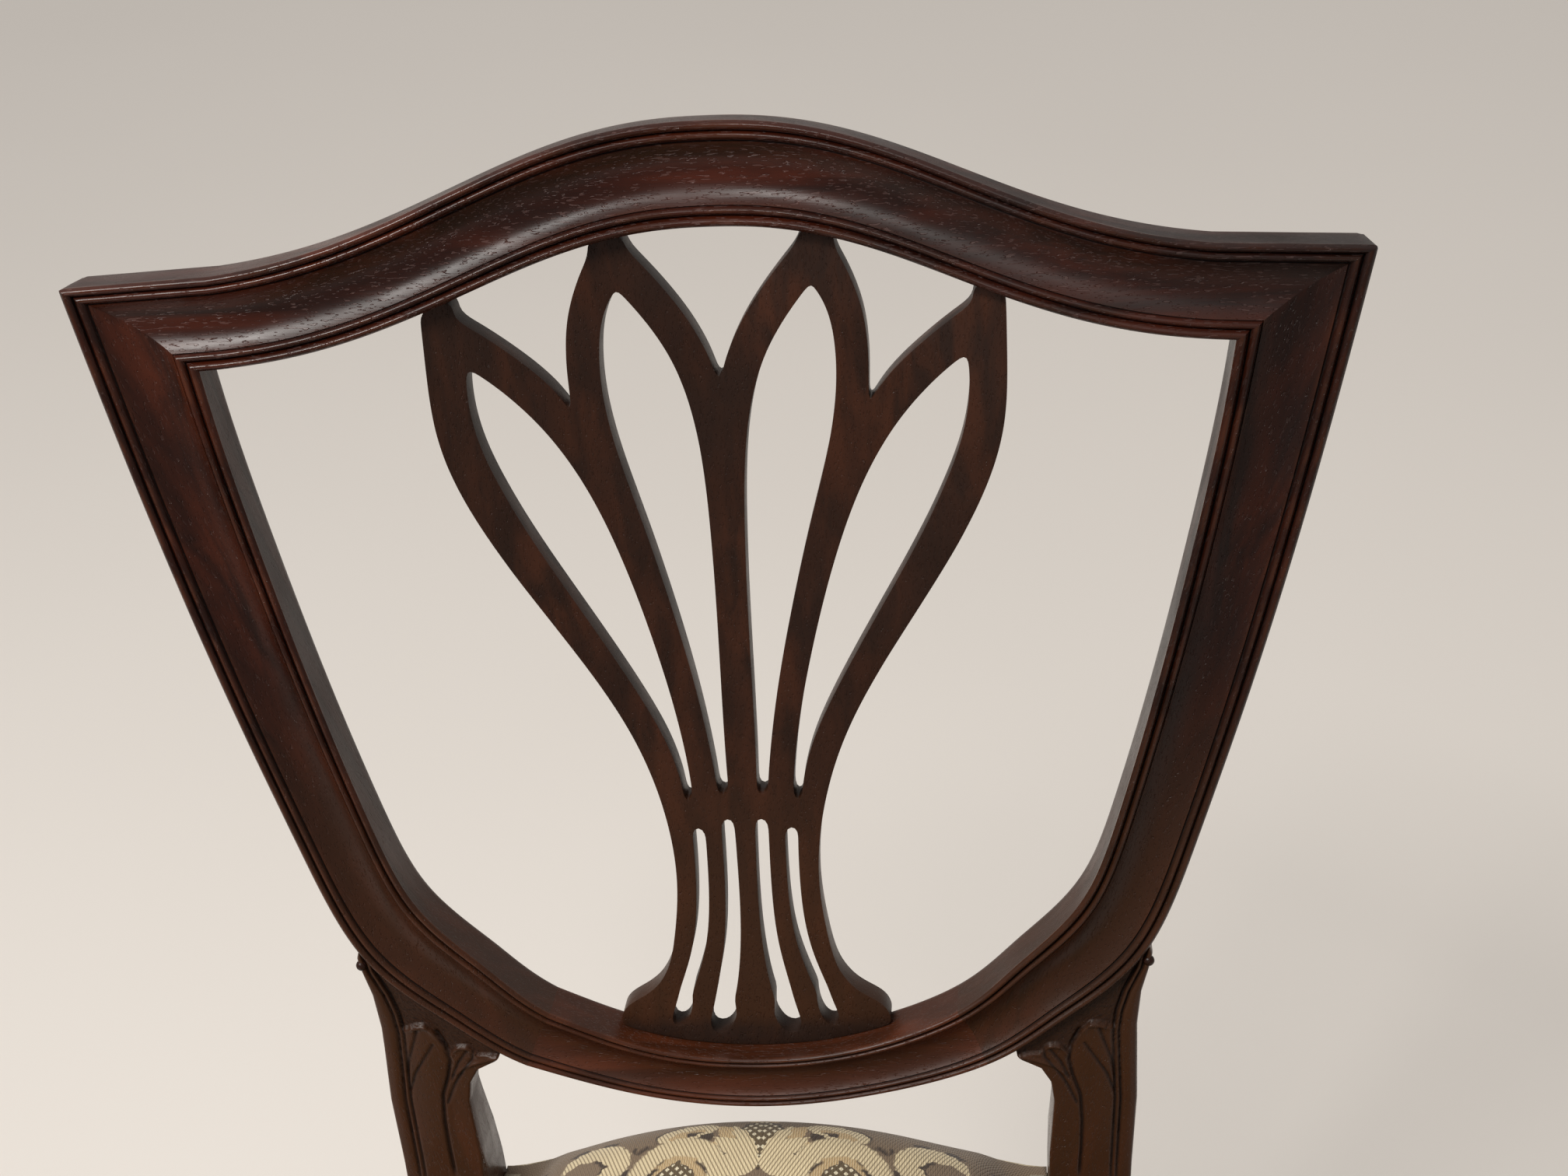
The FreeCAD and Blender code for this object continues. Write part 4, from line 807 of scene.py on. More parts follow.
def eased_copy(name):
    bm = bmesh.new()
    bm.from_mesh(nodes[name].data)
    bmesh.ops.scale(bm, vec=(1 / MM, 1 / MM, 1 / MM), verts=bm.verts)
    bmesh.ops.remove_doubles(bm, verts=bm.verts, dist=0.01)
    bmesh.ops.dissolve_limit(bm, angle_limit=math.radians(1), verts=bm.verts, edges=bm.edges)
    sharp = [e for e in bm.edges if len(e.link_faces) == 2 and e.calc_face_angle(0) > SHARP]
    round_edges(bm, sharp, STICK_ARRIS, STICK_AGE)
    return finish_piece(bm, name + "_eased", Matrix.Scale(MM, 4))


sticks = {name: eased_copy(name) for name in STICKS}

# %% [markdown]
# ## Seat
# The seat is stuffed over its rails: cloth drawn over a dome, rolled at the
# edges, pulled down the rails and turned under. A grid of points takes the
# dome's height, the space of each post is cut out, and the rim is extruded
# down. The front corners are rounded and folded like a parcel, and the cloth
# puckers a little above its tacks.

# %% Model the seat cover
SEAT_FRONT = -412.3
SEAT_REAR = 40.3
SEAT_SIDE = 168.3
RAIL_TOP = 440
SIDE_SLOPE = 89 / 368
FRONT_LEG_BACK = -368
FRONT_ROLL = 46
REAR_ROLL = 36
CROWN = 62.5
CROWN_DIP = 6.5
END_TOP, END_EDGE = 15, 8
# Height of the rolled side, its loss beside the posts, and how far that reaches.
SIDE_EDGE, EDGE_LOSS, EDGE_REACH = 31, 16, 80
SIDE_ROLL, POST_ROLL, ROLL_REACH, ROLL_SLOPE = 18, 24, 40, 0.5
# The cloth is drawn down beside the posts: share, then start and run on x and y.
POST_DROP, DROP_X, DROP_Y = 0.75, (96, 32), (-55, 60)
POST_EDGE = 129.7
POST_FRONT = -0.3
ROLL_POINTS = 14
CROWN_POINTS = 34
END_ROWS = 18
FLAT_ROWS = 60
SKIRT_LEVELS = (436, 428, 420, 412, 404, 396, 388, 382, 378, 375, 372.6, 371.2, 370.4)
CLOTH = 1.4
CORNER_ROUND = 4.5
# The parcel fold: its depth, then where it starts and its run on x, y and z.
FOLD, FOLD_X, FOLD_Y, FOLD_Z = 1.3, (-15, 1.6), (26, 20), (34, 24)
# Puckers above the tacks and on the crown: height, fineness, start and run.
TACK_PUCKER, CROWN_PUCKER = (0.9, 0.06, 8, 50), (0.8, 0.012, 10, 20)
PUCKER_SLANT = 0.7


def seat_half_width(y):
    return SEAT_SIDE - SIDE_SLOPE * max(min(y, 0), FRONT_LEG_BACK)


def seat_profile(y):
    """Half of a cross section of the seat, from its rim to its middle."""
    front = min(1, max(y - SEAT_FRONT, 0) / FRONT_ROLL)
    rear = min(1, max(SEAT_REAR - y, 0) / REAR_ROLL)
    rise = math.sqrt(1 - (1 - front) ** 2) * math.sqrt(1 - (1 - rear) ** 2)
    half_length = 0.5 * (SEAT_REAR - SEAT_FRONT - REAR_ROLL)
    centre = 0.5 * (SEAT_REAR + SEAT_FRONT - REAR_ROLL)
    crown = CROWN - CROWN_DIP * min(1, ((y - centre) / half_length) ** 2)
    top = END_TOP + (crown - END_TOP) * rise
    edge = SIDE_EDGE - EDGE_LOSS * math.exp(min(y, 0) / EDGE_REACH)
    edge = END_EDGE + (edge - END_EDGE) * rise
    roll = SIDE_ROLL + POST_ROLL * math.exp(min(y, 0) / ROLL_REACH) + ROLL_SLOPE * max(y, 0)
    shoulder = seat_half_width(y) - roll
    half = []
    for k in range(ROLL_POINTS + 1):
        bend = 0.5 * math.pi * k / ROLL_POINTS
        half.append((shoulder + roll * math.cos(bend), edge * math.sin(bend)))
    for k in range(1, CROWN_POINTS + 1):
        share = 1 - k / CROWN_POINTS
        half.append((shoulder * share, top - (top - edge) * share ** 2))
    return half


def seat_rows():
    bends = [1 - math.cos(0.5 * math.pi * k / END_ROWS) for k in range(END_ROWS + 1)]
    rows = [SEAT_REAR - REAR_ROLL * bend for bend in bends]
    last, first = rows[-1], SEAT_FRONT + FRONT_ROLL
    rows += [last + (first - last) * k / FLAT_ROWS for k in range(1, FLAT_ROWS)]
    return rows + [SEAT_FRONT + FRONT_ROLL * bend for bend in reversed(bends)]


def cut_post_rooms(bm):
    """Take away the cloth where the rear posts stand."""
    cut_along(bm, (0, POST_FRONT, 0), (0, 1, 0), 0.1)
    for x in (POST_EDGE, -POST_EDGE):
        cut_along(bm, (x, 0, 0), (1, 0, 0), 0.1)
    gone = [f for f in bm.faces if f.calc_center_median().y > POST_FRONT
            and abs(f.calc_center_median().x) > POST_EDGE]
    bmesh.ops.delete(bm, geom=gone, context="FACES")


def fold_corner(co):
    """Round a front corner and lay the parcel fold beside it."""
    wide = seat_half_width(SEAT_FRONT)
    middle_x, middle_y = wide - CORNER_ROUND, SEAT_FRONT + CORNER_ROUND
    dx, dy = abs(co.x) - middle_x, middle_y - co.y
    if dx > 0 and dy > 0:
        reach = max(dx, dy) / math.hypot(dx, dy)
        co.x = math.copysign(middle_x + dx * reach, co.x)
        co.y = middle_y - dy * reach
    near = ease(abs(co.x), wide + FOLD_X[0], FOLD_X[1])
    near *= ease(SEAT_FRONT + FOLD_Y[0] - co.y, 0, FOLD_Y[1])
    co.y -= FOLD * near * ease(RAIL_TOP + FOLD_Z[0] - co.z, 0, FOLD_Z[1])


def lengths_along(points):
    """How much cloth lies between the first point of a line and each other."""
    total, out = 0.0, [0.0]
    for (ax, ay), (bx, by) in zip(points, points[1:]):
        total += math.hypot(bx - ax, by - ay)
        out.append(total)
    return out


def drop_skirt(bm, unrolled):
    """Carry the rim down the rails, and the cloth's own measure with it."""
    rim = [edge for edge in bm.edges if edge.is_boundary]
    for level in SKIRT_LEVELS:
        made = bmesh.ops.extrude_edge_only(bm, edges=rim)["geom"]
        fresh = {item for item in made if isinstance(item, bmesh.types.BMVert)}
        for vert in fresh:
            above = next(e.other_vert(vert) for e in vert.link_edges
                         if e.other_vert(vert) not in fresh)
            drop = above.co.z - level
            u, v, _ = above[unrolled]
            if vert.co.y < SEAT_FRONT + 0.5:
                v += drop
            elif vert.co.y > SEAT_REAR - 0.5:
                v -= drop
            else:
                u += math.copysign(drop, vert.co.x)
            vert[unrolled] = (u, v, 0)
            vert.co.z = level
        rim = [item for item in made if isinstance(item, bmesh.types.BMEdge)
               and item.is_boundary]


def build_seat():
    rows = seat_rows()
    halves = [seat_profile(y) for y in rows]
    deep = lengths_along([(y, half[-1][1]) for y, half in zip(rows, halves)])
    columns = 2 * (ROLL_POINTS + CROWN_POINTS) + 1
    bm = bmesh.new()
    unrolled = bm.verts.layers.float_vector.new("cloth")
    bmesh.ops.create_grid(bm, x_segments=columns - 1, y_segments=len(rows) - 1, size=1)
    for vert in bm.verts:
        column = round((vert.co.x + 1) * 0.5 * (columns - 1))
        row = round((1 - vert.co.y) * 0.5 * (len(rows) - 1))
        side = -1 if column < len(halves[row]) else 1
        step = min(column, columns - 1 - column)
        x, z = halves[row][step]
        z *= 1 - POST_DROP * ease(abs(x), *DROP_X) * ease(rows[row], *DROP_Y)
        out = lengths_along(halves[row][::-1])[len(halves[row]) - 1 - step]
        vert.co = Vector((side * x, rows[row], RAIL_TOP + z))
        vert[unrolled] = (side * out, deep[row], 0)
    cut_post_rooms(bm)
    drop_skirt(bm, unrolled)
    bmesh.ops.remove_doubles(bm, verts=bm.verts, dist=0.02)
    bmesh.ops.recalc_face_normals(bm, faces=bm.faces)
    bm.normal_update()
    for vert in bm.verts:
        height, fineness, *low = TACK_PUCKER
        run = vert.co.x + PUCKER_SLANT * vert.co.y
        pucker = noise.noise(Vector((run * fineness, 0, 4))) * height
        pucker *= ease(RAIL_TOP - vert.co.z, *low)
        height, fineness, *high = CROWN_PUCKER
        pucker += noise.noise(vert.co * fineness) * height * ease(vert.co.z - RAIL_TOP, *high)
        vert.co += vert.normal * pucker
        fold_corner(vert.co)
    bmesh.ops.solidify(bm, geom=bm.faces[:], thickness=CLOTH)
    return finish_piece(bm, "damask_seat_cover", CHAIR)


seat = build_seat()

# %% [markdown]
# ## Cloths below the seat
# Under the stuffing lie jute webs, woven over and under each other and tacked
# to the rails, and a stout cloth on top of them. From below only the thin black
# cloth shows, drawn across the rails with a slight sag.

# %% Model the hidden cloths
WEB_TOP = 443
WEB_XS = [-100.1, -33.4, 33.4, 100.1]
WEB_YS = [FRONT_LEG_BACK * (k + 0.6) / 4 for k in range(4)]
WEB_WIDE = 50
WEB_THICK = 0.8
WEB_MIDDLE = WEB_TOP - 1.5
WEB_LIFT, WEB_BEND = 0.9, 34
# How far the webs' ends and the cloths' edges lie inside the seat's outline.
SIDE_INSET, FRONT_INSET, REAR_INSET, CLOTH_INSET = 16.3, 10.3, 8.3, 2.3


def web_strip(bm, along_y, spot, low, high, crossings, first_up):
    """One web strip that passes over and under the strips it crosses."""
    grid = bmesh.ops.create_grid(bm, x_segments=6, y_segments=60, size=0.5)["verts"]
    for vert in grid:
        run = low + (vert.co.y + 0.5) * (high - low)
        lift = 0
        for number, crossing in enumerate(sorted(crossings)):
            up = 1 if (number % 2 == 0) == first_up else -1
            lift += up * WEB_LIFT * math.exp(-((run - crossing) / WEB_BEND) ** 4)
        across = spot + vert.co.x * WEB_WIDE
        z = WEB_MIDDLE + lift
        vert.co = Vector((across, run, z)) if along_y else Vector((run, across, z))


def build_webs(name, along_y):
    bm = bmesh.new()
    for number, spot in enumerate(WEB_XS if along_y else WEB_YS):
        half = seat_half_width(spot) - SIDE_INSET
        low, high = ((SEAT_FRONT + FRONT_INSET, SEAT_REAR - REAR_INSET) if along_y
                     else (-half, half))
        web_strip(bm, along_y, spot, low, high, WEB_YS if along_y else WEB_XS,
                  (number % 2 == 0) == along_y)
    bmesh.ops.solidify(bm, geom=bm.faces[:], thickness=WEB_THICK)
    return finish_piece(bm, name, CHAIR)


def flat_cloth(name, inset, level, sag, thickness):
    """A stretched cloth of the seat's own plan, notched round the posts."""
    bm = bmesh.new()
    bmesh.ops.create_grid(bm, x_segments=64, y_segments=60, size=0.5)
    low, high = SEAT_FRONT + CLOTH_INSET + inset, SEAT_REAR - CLOTH_INSET - inset
    for vert in bm.verts:
        y = low + (vert.co.y + 0.5) * (high - low)
        half = seat_half_width(y) - CLOTH_INSET - inset
        x = vert.co.x * 2 * half
        bulge = (1 - (2 * vert.co.x) ** 2) * (1 - (2 * vert.co.y) ** 2)
        vert.co = Vector((x, y, level - sag * max(bulge, 0)))
    cut_post_rooms(bm)
    bmesh.ops.solidify(bm, geom=bm.faces[:], thickness=thickness)
    return finish_piece(bm, name, CHAIR)


webs = {"lengthwise_webbing": build_webs("lengthwise_webs", True),
        "crosswise_webbing": build_webs("crosswise_webs", False)}
base_cloth = flat_cloth("stout_base_cloth", inset=5, level=444, sag=0, thickness=0.8)
black_cloth = flat_cloth("black_under_cloth", inset=8, level=370, sag=1.2, thickness=0.7)
for piece in (base_cloth, black_cloth):
    print(piece.name, "area", round(sum(p.area for p in piece.data.polygons) / 2, 4))

# %% [markdown]
# ## Node helpers
# The materials are built from a few kinds of node. A recipe adds them to its
# tree one by one and joins each up, so that a material reads like a sentence.

# %% Make node helpers
COLOUR_SOCKETS = ("Dark", "Light", "Colour", "Rubbed", "Finish")
KINDS = {"Vector": "Vector", **{label: "Color" for label in COLOUR_SOCKETS}}


class Recipe:
    """Adds nodes to one tree. A value is an output, a number or a colour."""

    def __init__(self, tree):
        self.tree = tree

    def plug(self, value, target):
        """Join an output to an input, or write a plain number or colour on it."""
        if isinstance(value, bpy.types.NodeSocket):
            self.tree.links.new(value, target)
        else:
            target.default_value = (*value, 1) if target.type == "RGBA" else value

    def node(self, kind, values=(), **settings):
        """Add a node with its settings, then plug in values by name or number."""
        made = self.tree.nodes.new(kind)
        for key, value in settings.items():
            setattr(made, key, value)
        for key, value in dict(values).items():
            self.plug(value, made.inputs[key])
        return made

    def fill(self, end, **values):
        """Plug in the inputs of a last node, with _ for the spaces in their names."""
        for key, value in values.items():
            self.plug(value, end[key.replace("_", " ")])

    def math(self, operation, *values, clamp=False):
        return self.node("ShaderNodeMath", enumerate(values), operation=operation,
                         use_clamp=clamp).outputs[0]

    def times(self, first, second):
        return self.math("MULTIPLY", first, second)

    def times_plus(self, value, factor, more):
        return self.math("MULTIPLY_ADD", value, factor, more)

    def vector_math(self, operation, *values):
        made = self.node("ShaderNodeVectorMath", enumerate(values), operation=operation)
        return made.outputs["Value" if operation == "LENGTH" else "Vector"]

    def ramp(self, value, low, high):
        """Map a value from low..high to 0..1, smoothly and clamped."""
        values = {"Value": value, "From Min": low, "From Max": high}
        return self.node("ShaderNodeMapRange", values,
                         interpolation_type="SMOOTHSTEP").outputs["Result"]

    def mix(self, share, first, second):
        return self.node("ShaderNodeMix", {0: share, 6: first, 7: second},
                         data_type="RGBA").outputs[2]

    def noise(self, vector, scale, detail, stretch=None, distortion=0, out="Fac"):
        if stretch:
            vector = self.vector_math("MULTIPLY", vector, stretch)
        values = {"Vector": vector, "Scale": scale, "Detail": detail, "Distortion": distortion}
        return self.node("ShaderNodeTexNoise", values).outputs[out]

    def attribute(self, name, out):
        return self.node("ShaderNodeAttribute", attribute_name=name).outputs[out]

    def use(self, group, values):
        return self.node("ShaderNodeGroup", values, node_tree=group).outputs

    def bump(self, shader, height, strength, distance):
        values = {"Strength": strength, "Distance": distance, "Height": height}
        bump = self.node("ShaderNodeBump", values)
        self.plug(bump.outputs["Normal"], shader["Normal"])


def new_group(name, labels_in, labels_out):
    """A node group, with the recipe that fills it and its two ends."""
    group = bpy.data.node_groups.new(name, "ShaderNodeTree")
    for way, labels in (("INPUT", labels_in), ("OUTPUT", labels_out)):
        for label in labels:
            group.interface.new_socket(name=label, in_out=way,
                                       socket_type="NodeSocket" + KINDS.get(label, "Float"))
    add = Recipe(group)
    return group, add, add.node("NodeGroupInput").outputs, add.node("NodeGroupOutput").inputs


def new_material(name):
    """A material, its recipe, its shader's inputs and its object coordinates."""
    material = bpy.data.materials.new(name)
    material.use_nodes = True
    add = Recipe(material.node_tree)
    place = add.node("ShaderNodeTexCoord").outputs["Object"]
    print("material", name)
    return material, add, material.node_tree.nodes["Principled BSDF"].inputs, place


print("a recipe adds", [word for word in vars(Recipe) if not word.startswith("_")])

# %% [markdown]
# ## Mahogany
# Old polished mahogany is dark red-brown, with darker streaks along the grain
# and short open pores, sunk a little and painted paler as glints of light.
# Polish and dust have gone black in the quirks, painted shade darkens the
# crest's right end and the splat's foot, and hands have rubbed the beads and
# edges lighter and redder. One group makes the grain and one the age, and each
# cut of wood gives them its own colours and direction, with painted shade in
# the right stile's darker colours.

# %% Make the wood groups
FADED_BROWN = (0.062, 0.024, 0.0095)
# Black for the dirt in the quirks and for painted shade.
BLACK_DIRT_AND_SHADE = (0.0035, 0.002, 0.0018)
BUMP_STRENGTH, BUMP_DEPTH = 0.6, 0.0006


def grain_group():
    """Streaks and pores along X of the vector, in metres."""
    group, add, given, out = new_group("wood_grain", ("Vector", "Dark", "Light"),
                                       ("Colour", "Pores", "Streaks"))
    vector = given["Vector"]
    streak = add.noise(vector, 1, 6, (7, 110, 110), 0.5)
    fibre = add.noise(vector, 1, 3, (45, 1400, 1400))
    broad = add.noise(vector, 1, 2, (9, 22, 22))
    pore = add.noise(vector, 1, 1, (230, 1300, 1300))
    share = add.times(add.ramp(streak, 0.3, 0.72), add.ramp(broad, 0.22, 0.72))
    share = add.times_plus(fibre, 0.22, share)
    share = add.math("SUBTRACT", share, 0.08, clamp=True)
    add.fill(out, Colour=add.mix(share, given["Dark"], given["Light"]), Streaks=share,
               Pores=add.ramp(pore, 0.6, 0.66))
    return group


def age_group():
    """Black quirks, painted shade and rubbed edges, read from the colour attribute."""
    group, add, given, out = new_group("wood_age", ("Vector", "Colour", "Rubbed", "Finish"),
                                       ("Colour", "Dull"))
    vector = given["Vector"]
    parts = add.node("ShaderNodeSeparateColor", {"Color": given["Finish"]}).outputs
    wear = add.times(parts["Green"], add.ramp(add.noise(vector, 60, 4), 0.36, 0.62))
    colour = add.mix(add.times(parts["Blue"], 0.55), given["Colour"], FADED_BROWN)
    colour = add.mix(add.times(wear, 0.26), colour, given["Rubbed"])
    filled = add.ramp(add.noise(vector, 300, 2), 0.2, 0.55)
    # The red channel is dark dirt in the quirks and carving, and painted shade at the crest's
    # right end and the splat's foot.
    dirt_and_shade = add.times(parts["Red"], add.times_plus(filled, 0.25, 0.75))
    cloudy = add.ramp(add.noise(vector, 25, 4), 0.3, 0.75)
    dull = add.times_plus(dirt_and_shade, 0.35, add.times(cloudy, 0.14))
    add.fill(out, Colour=add.mix(dirt_and_shade, colour, BLACK_DIRT_AND_SHADE),
               Dull=add.times_plus(wear, -0.19, dull))
    return group


GRAIN = grain_group()
AGE = age_group()
print("groups", GRAIN.name, "and", AGE.name)

# %% Make the woods
ALONG_Y = (0, 0, math.radians(-90))
ALONG_Z = (0, math.radians(90), 0)
STILE_TURN = {"right": (0, math.radians(74), 0), "left": (0, math.radians(106), 0)}
DEEP = (0.01, 0.0018, 0.0007)
WARM = (0.07, 0.0125, 0.0048)
RUBBED = (0.1, 0.035, 0.017)


def wood_material(name, dark=DEEP, light=WARM, rubbed=RUBBED, turn=(0, 0, 0), roughness=0.27,
                  gloss=0.2, pore=0.14):
    """Wood whose grain runs along X of the turned object coordinates."""
    material, add, shader, place = new_material(name)
    turned = {"Vector": place, "Rotation": turn}
    vector = add.node("ShaderNodeMapping", turned).outputs["Vector"]
    grain = add.use(GRAIN, {"Vector": vector, "Dark": dark, "Light": light})
    # Painted highlight: the pores are painted paler as glints, by the share given in pore.
    pore_glint_colour = [min(1, 0.12 + 1.6 * c) for c in light]
    colour = add.mix(add.times(grain["Pores"], pore), grain["Colour"], pore_glint_colour)
    age = add.use(AGE, {"Vector": vector, "Colour": colour, "Rubbed": rubbed,
                        "Finish": add.attribute("finish", "Color")})
    rough = add.times_plus(grain["Streaks"], -0.06, roughness)
    add.fill(shader, Base_Color=age["Colour"], Roughness=add.math("ADD", rough, age["Dull"]),
               Specular_IOR_Level=gloss)
    height = add.times_plus(grain["Pores"], -1, add.times(grain["Streaks"], 0.25))
    add.bump(shader, height, BUMP_STRENGTH, BUMP_DEPTH)
    return material


mahogany = wood_material("mahogany_crest", roughness=0.23, gloss=0.23, pore=0.16)
# Painted shade: the right stile's colours are darker than the left's.
stile_wood = {
    "right": wood_material("mahogany_right_stile_painted_shade", (0.006, 0.0012, 0.0005),
                           (0.034, 0.007, 0.0026), (0.1, 0.034, 0.016), STILE_TURN["right"],
                           pore=0.04),
    "left": wood_material("mahogany_left_stile", (0.009, 0.0018, 0.0007),
                          (0.05, 0.0105, 0.0042), (0.12, 0.04, 0.019), STILE_TURN["left"],
                          pore=0.05)}
red_wood = wood_material("mahogany_lower_rail", (0.024, 0.0055, 0.002), (0.105, 0.024, 0.009),
                         (0.18, 0.06, 0.03), roughness=0.28, pore=0.05)
splat_wood = wood_material("mahogany_splat", (0.013, 0.0044, 0.0019), (0.042, 0.0125, 0.005),
                           (0.09, 0.032, 0.016), ALONG_Z, roughness=0.36, pore=0)
leg_wood = wood_material("mahogany_upright", turn=ALONG_Z)
side_wood = wood_material("mahogany_lengthwise", turn=ALONG_Y)
beech = wood_material("plain_frame_wood", (0.3, 0.19, 0.1), (0.48, 0.33, 0.19),
                      (0.5, 0.36, 0.22), roughness=0.6)

# %% [markdown]
# ## Damask
# The seat's cloth has a taupe ground of fine upright ribs. Its figure is cream,
# woven in long floats with dark binding threads, with gold and lozenge fillings
# and dark shadows in the joints of the leaves. The figure mirrors about the
# middle and is drawn here from ellipses and crescents with frayed edges, in a
# common palmette and scroll manner.

# %% Draw the damask
REPEAT_DEEP = 236
REPEAT_HALF = 165
REPEAT_LOW = -12
FIGURE = 1.6
FIGURE_START = -51
FRAY = (6, 6, 0)
THREAD = 2 * math.pi / 1.9
RIB = 2 * math.pi / 1.15
LOZENGE = THREAD * 0.42
GROUND_COLOUR = (0.215, 0.15, 0.092)
GROUND_DARK = (0.105, 0.072, 0.045)
CREAM = (0.78, 0.65, 0.41)
BINDING = (0.2, 0.135, 0.07)
GOLD = (0.45, 0.3, 0.14)
SHADOW = (0.045, 0.028, 0.018)
DIAPER_DARK = (0.11, 0.075, 0.035)
DIAPER_PALE = (0.8, 0.72, 0.52)
OLD_DUST = (0.09, 0.06, 0.04)


def leaves(*fans):
    """Leaves that spread from one point in each fan, to one side of it."""
    made = []
    for base_x, base_y, side, *fan in fans:
        for angle, length, half in fan:
            lean = math.radians(angle) * side
            middle = (base_x + 0.5 * length * math.sin(lean),
                      base_y - 0.5 * length * math.cos(lean))
            made.append((middle, (0.5 * length, half), math.degrees(lean) - 90))
    return made


# A fan is its foot and side, then angle from upright, length and half width of each leaf.
CREAM_LEAVES = leaves((0, 66, 1, (26, 50, 6), (50, 46, 8), (80, 34, 7), (112, 30, 7)),
                      (0, 150, 1, (0, 56, 9), (30, 50, 8), (58, 46, 8), (88, 44, 8)),
                      (165, 196, -1, (0, 60, 9), (28, 56, 8), (56, 48, 9), (86, 44, 8)),
                      (66, 226, 1, (-40, 50, 7), (-8, 54, 8), (30, 44, 7)),
                      (165, 84, -1, (14, 40, 7), (44, 36, 7)),
                      (104, 146, -1, (20, 42, 6), (64, 40, 6)))
GOLD_LEAVES = leaves((0, 62, 1, (38, 54, 10), (66, 44, 10)),
                     (0, 150, 1, (14, 60, 12), (74, 50, 10)),
                     (165, 196, -1, (14, 64, 11), (70, 50, 10)),
                     (66, 226, 1, (-24, 56, 9), (10, 56, 8)))
DIAPER_LEAVES = leaves((0, 70, 1, (0, 60, 17)), (62, 92, 1, (-4, 32, 13)),
                       (0, 212, 1, (0, 56, 15)))
# Crescents: centre, half widths, turn, then the hole's centre and half widths.
CRESCENTS = [((60, 74), (38, 40), 0, (60, 80), (24, 26)),
             ((56, 26), (24, 11), 14, (56, 29), (14, 5)),
             ((128, 44), (31, 24), -24, (136, 53), (22, 16)),
             ((113, 58), (10, 8), 0, None, None),
             ((126, 118), (26, 20), 30, (131, 112), (19, 13)),
             ((117, 108), (8, 7), 0, None, None),
             ((36, 186), (30, 24), -20, (43, 192), (22, 16)),
             ((22, 180), (8, 8), 0, None, None)]
GOLD_OVALS = [((56, 28), (16, 7), 14), ((60, 80), (25, 27), 0), ((0, 6), (12, 10), 0)]


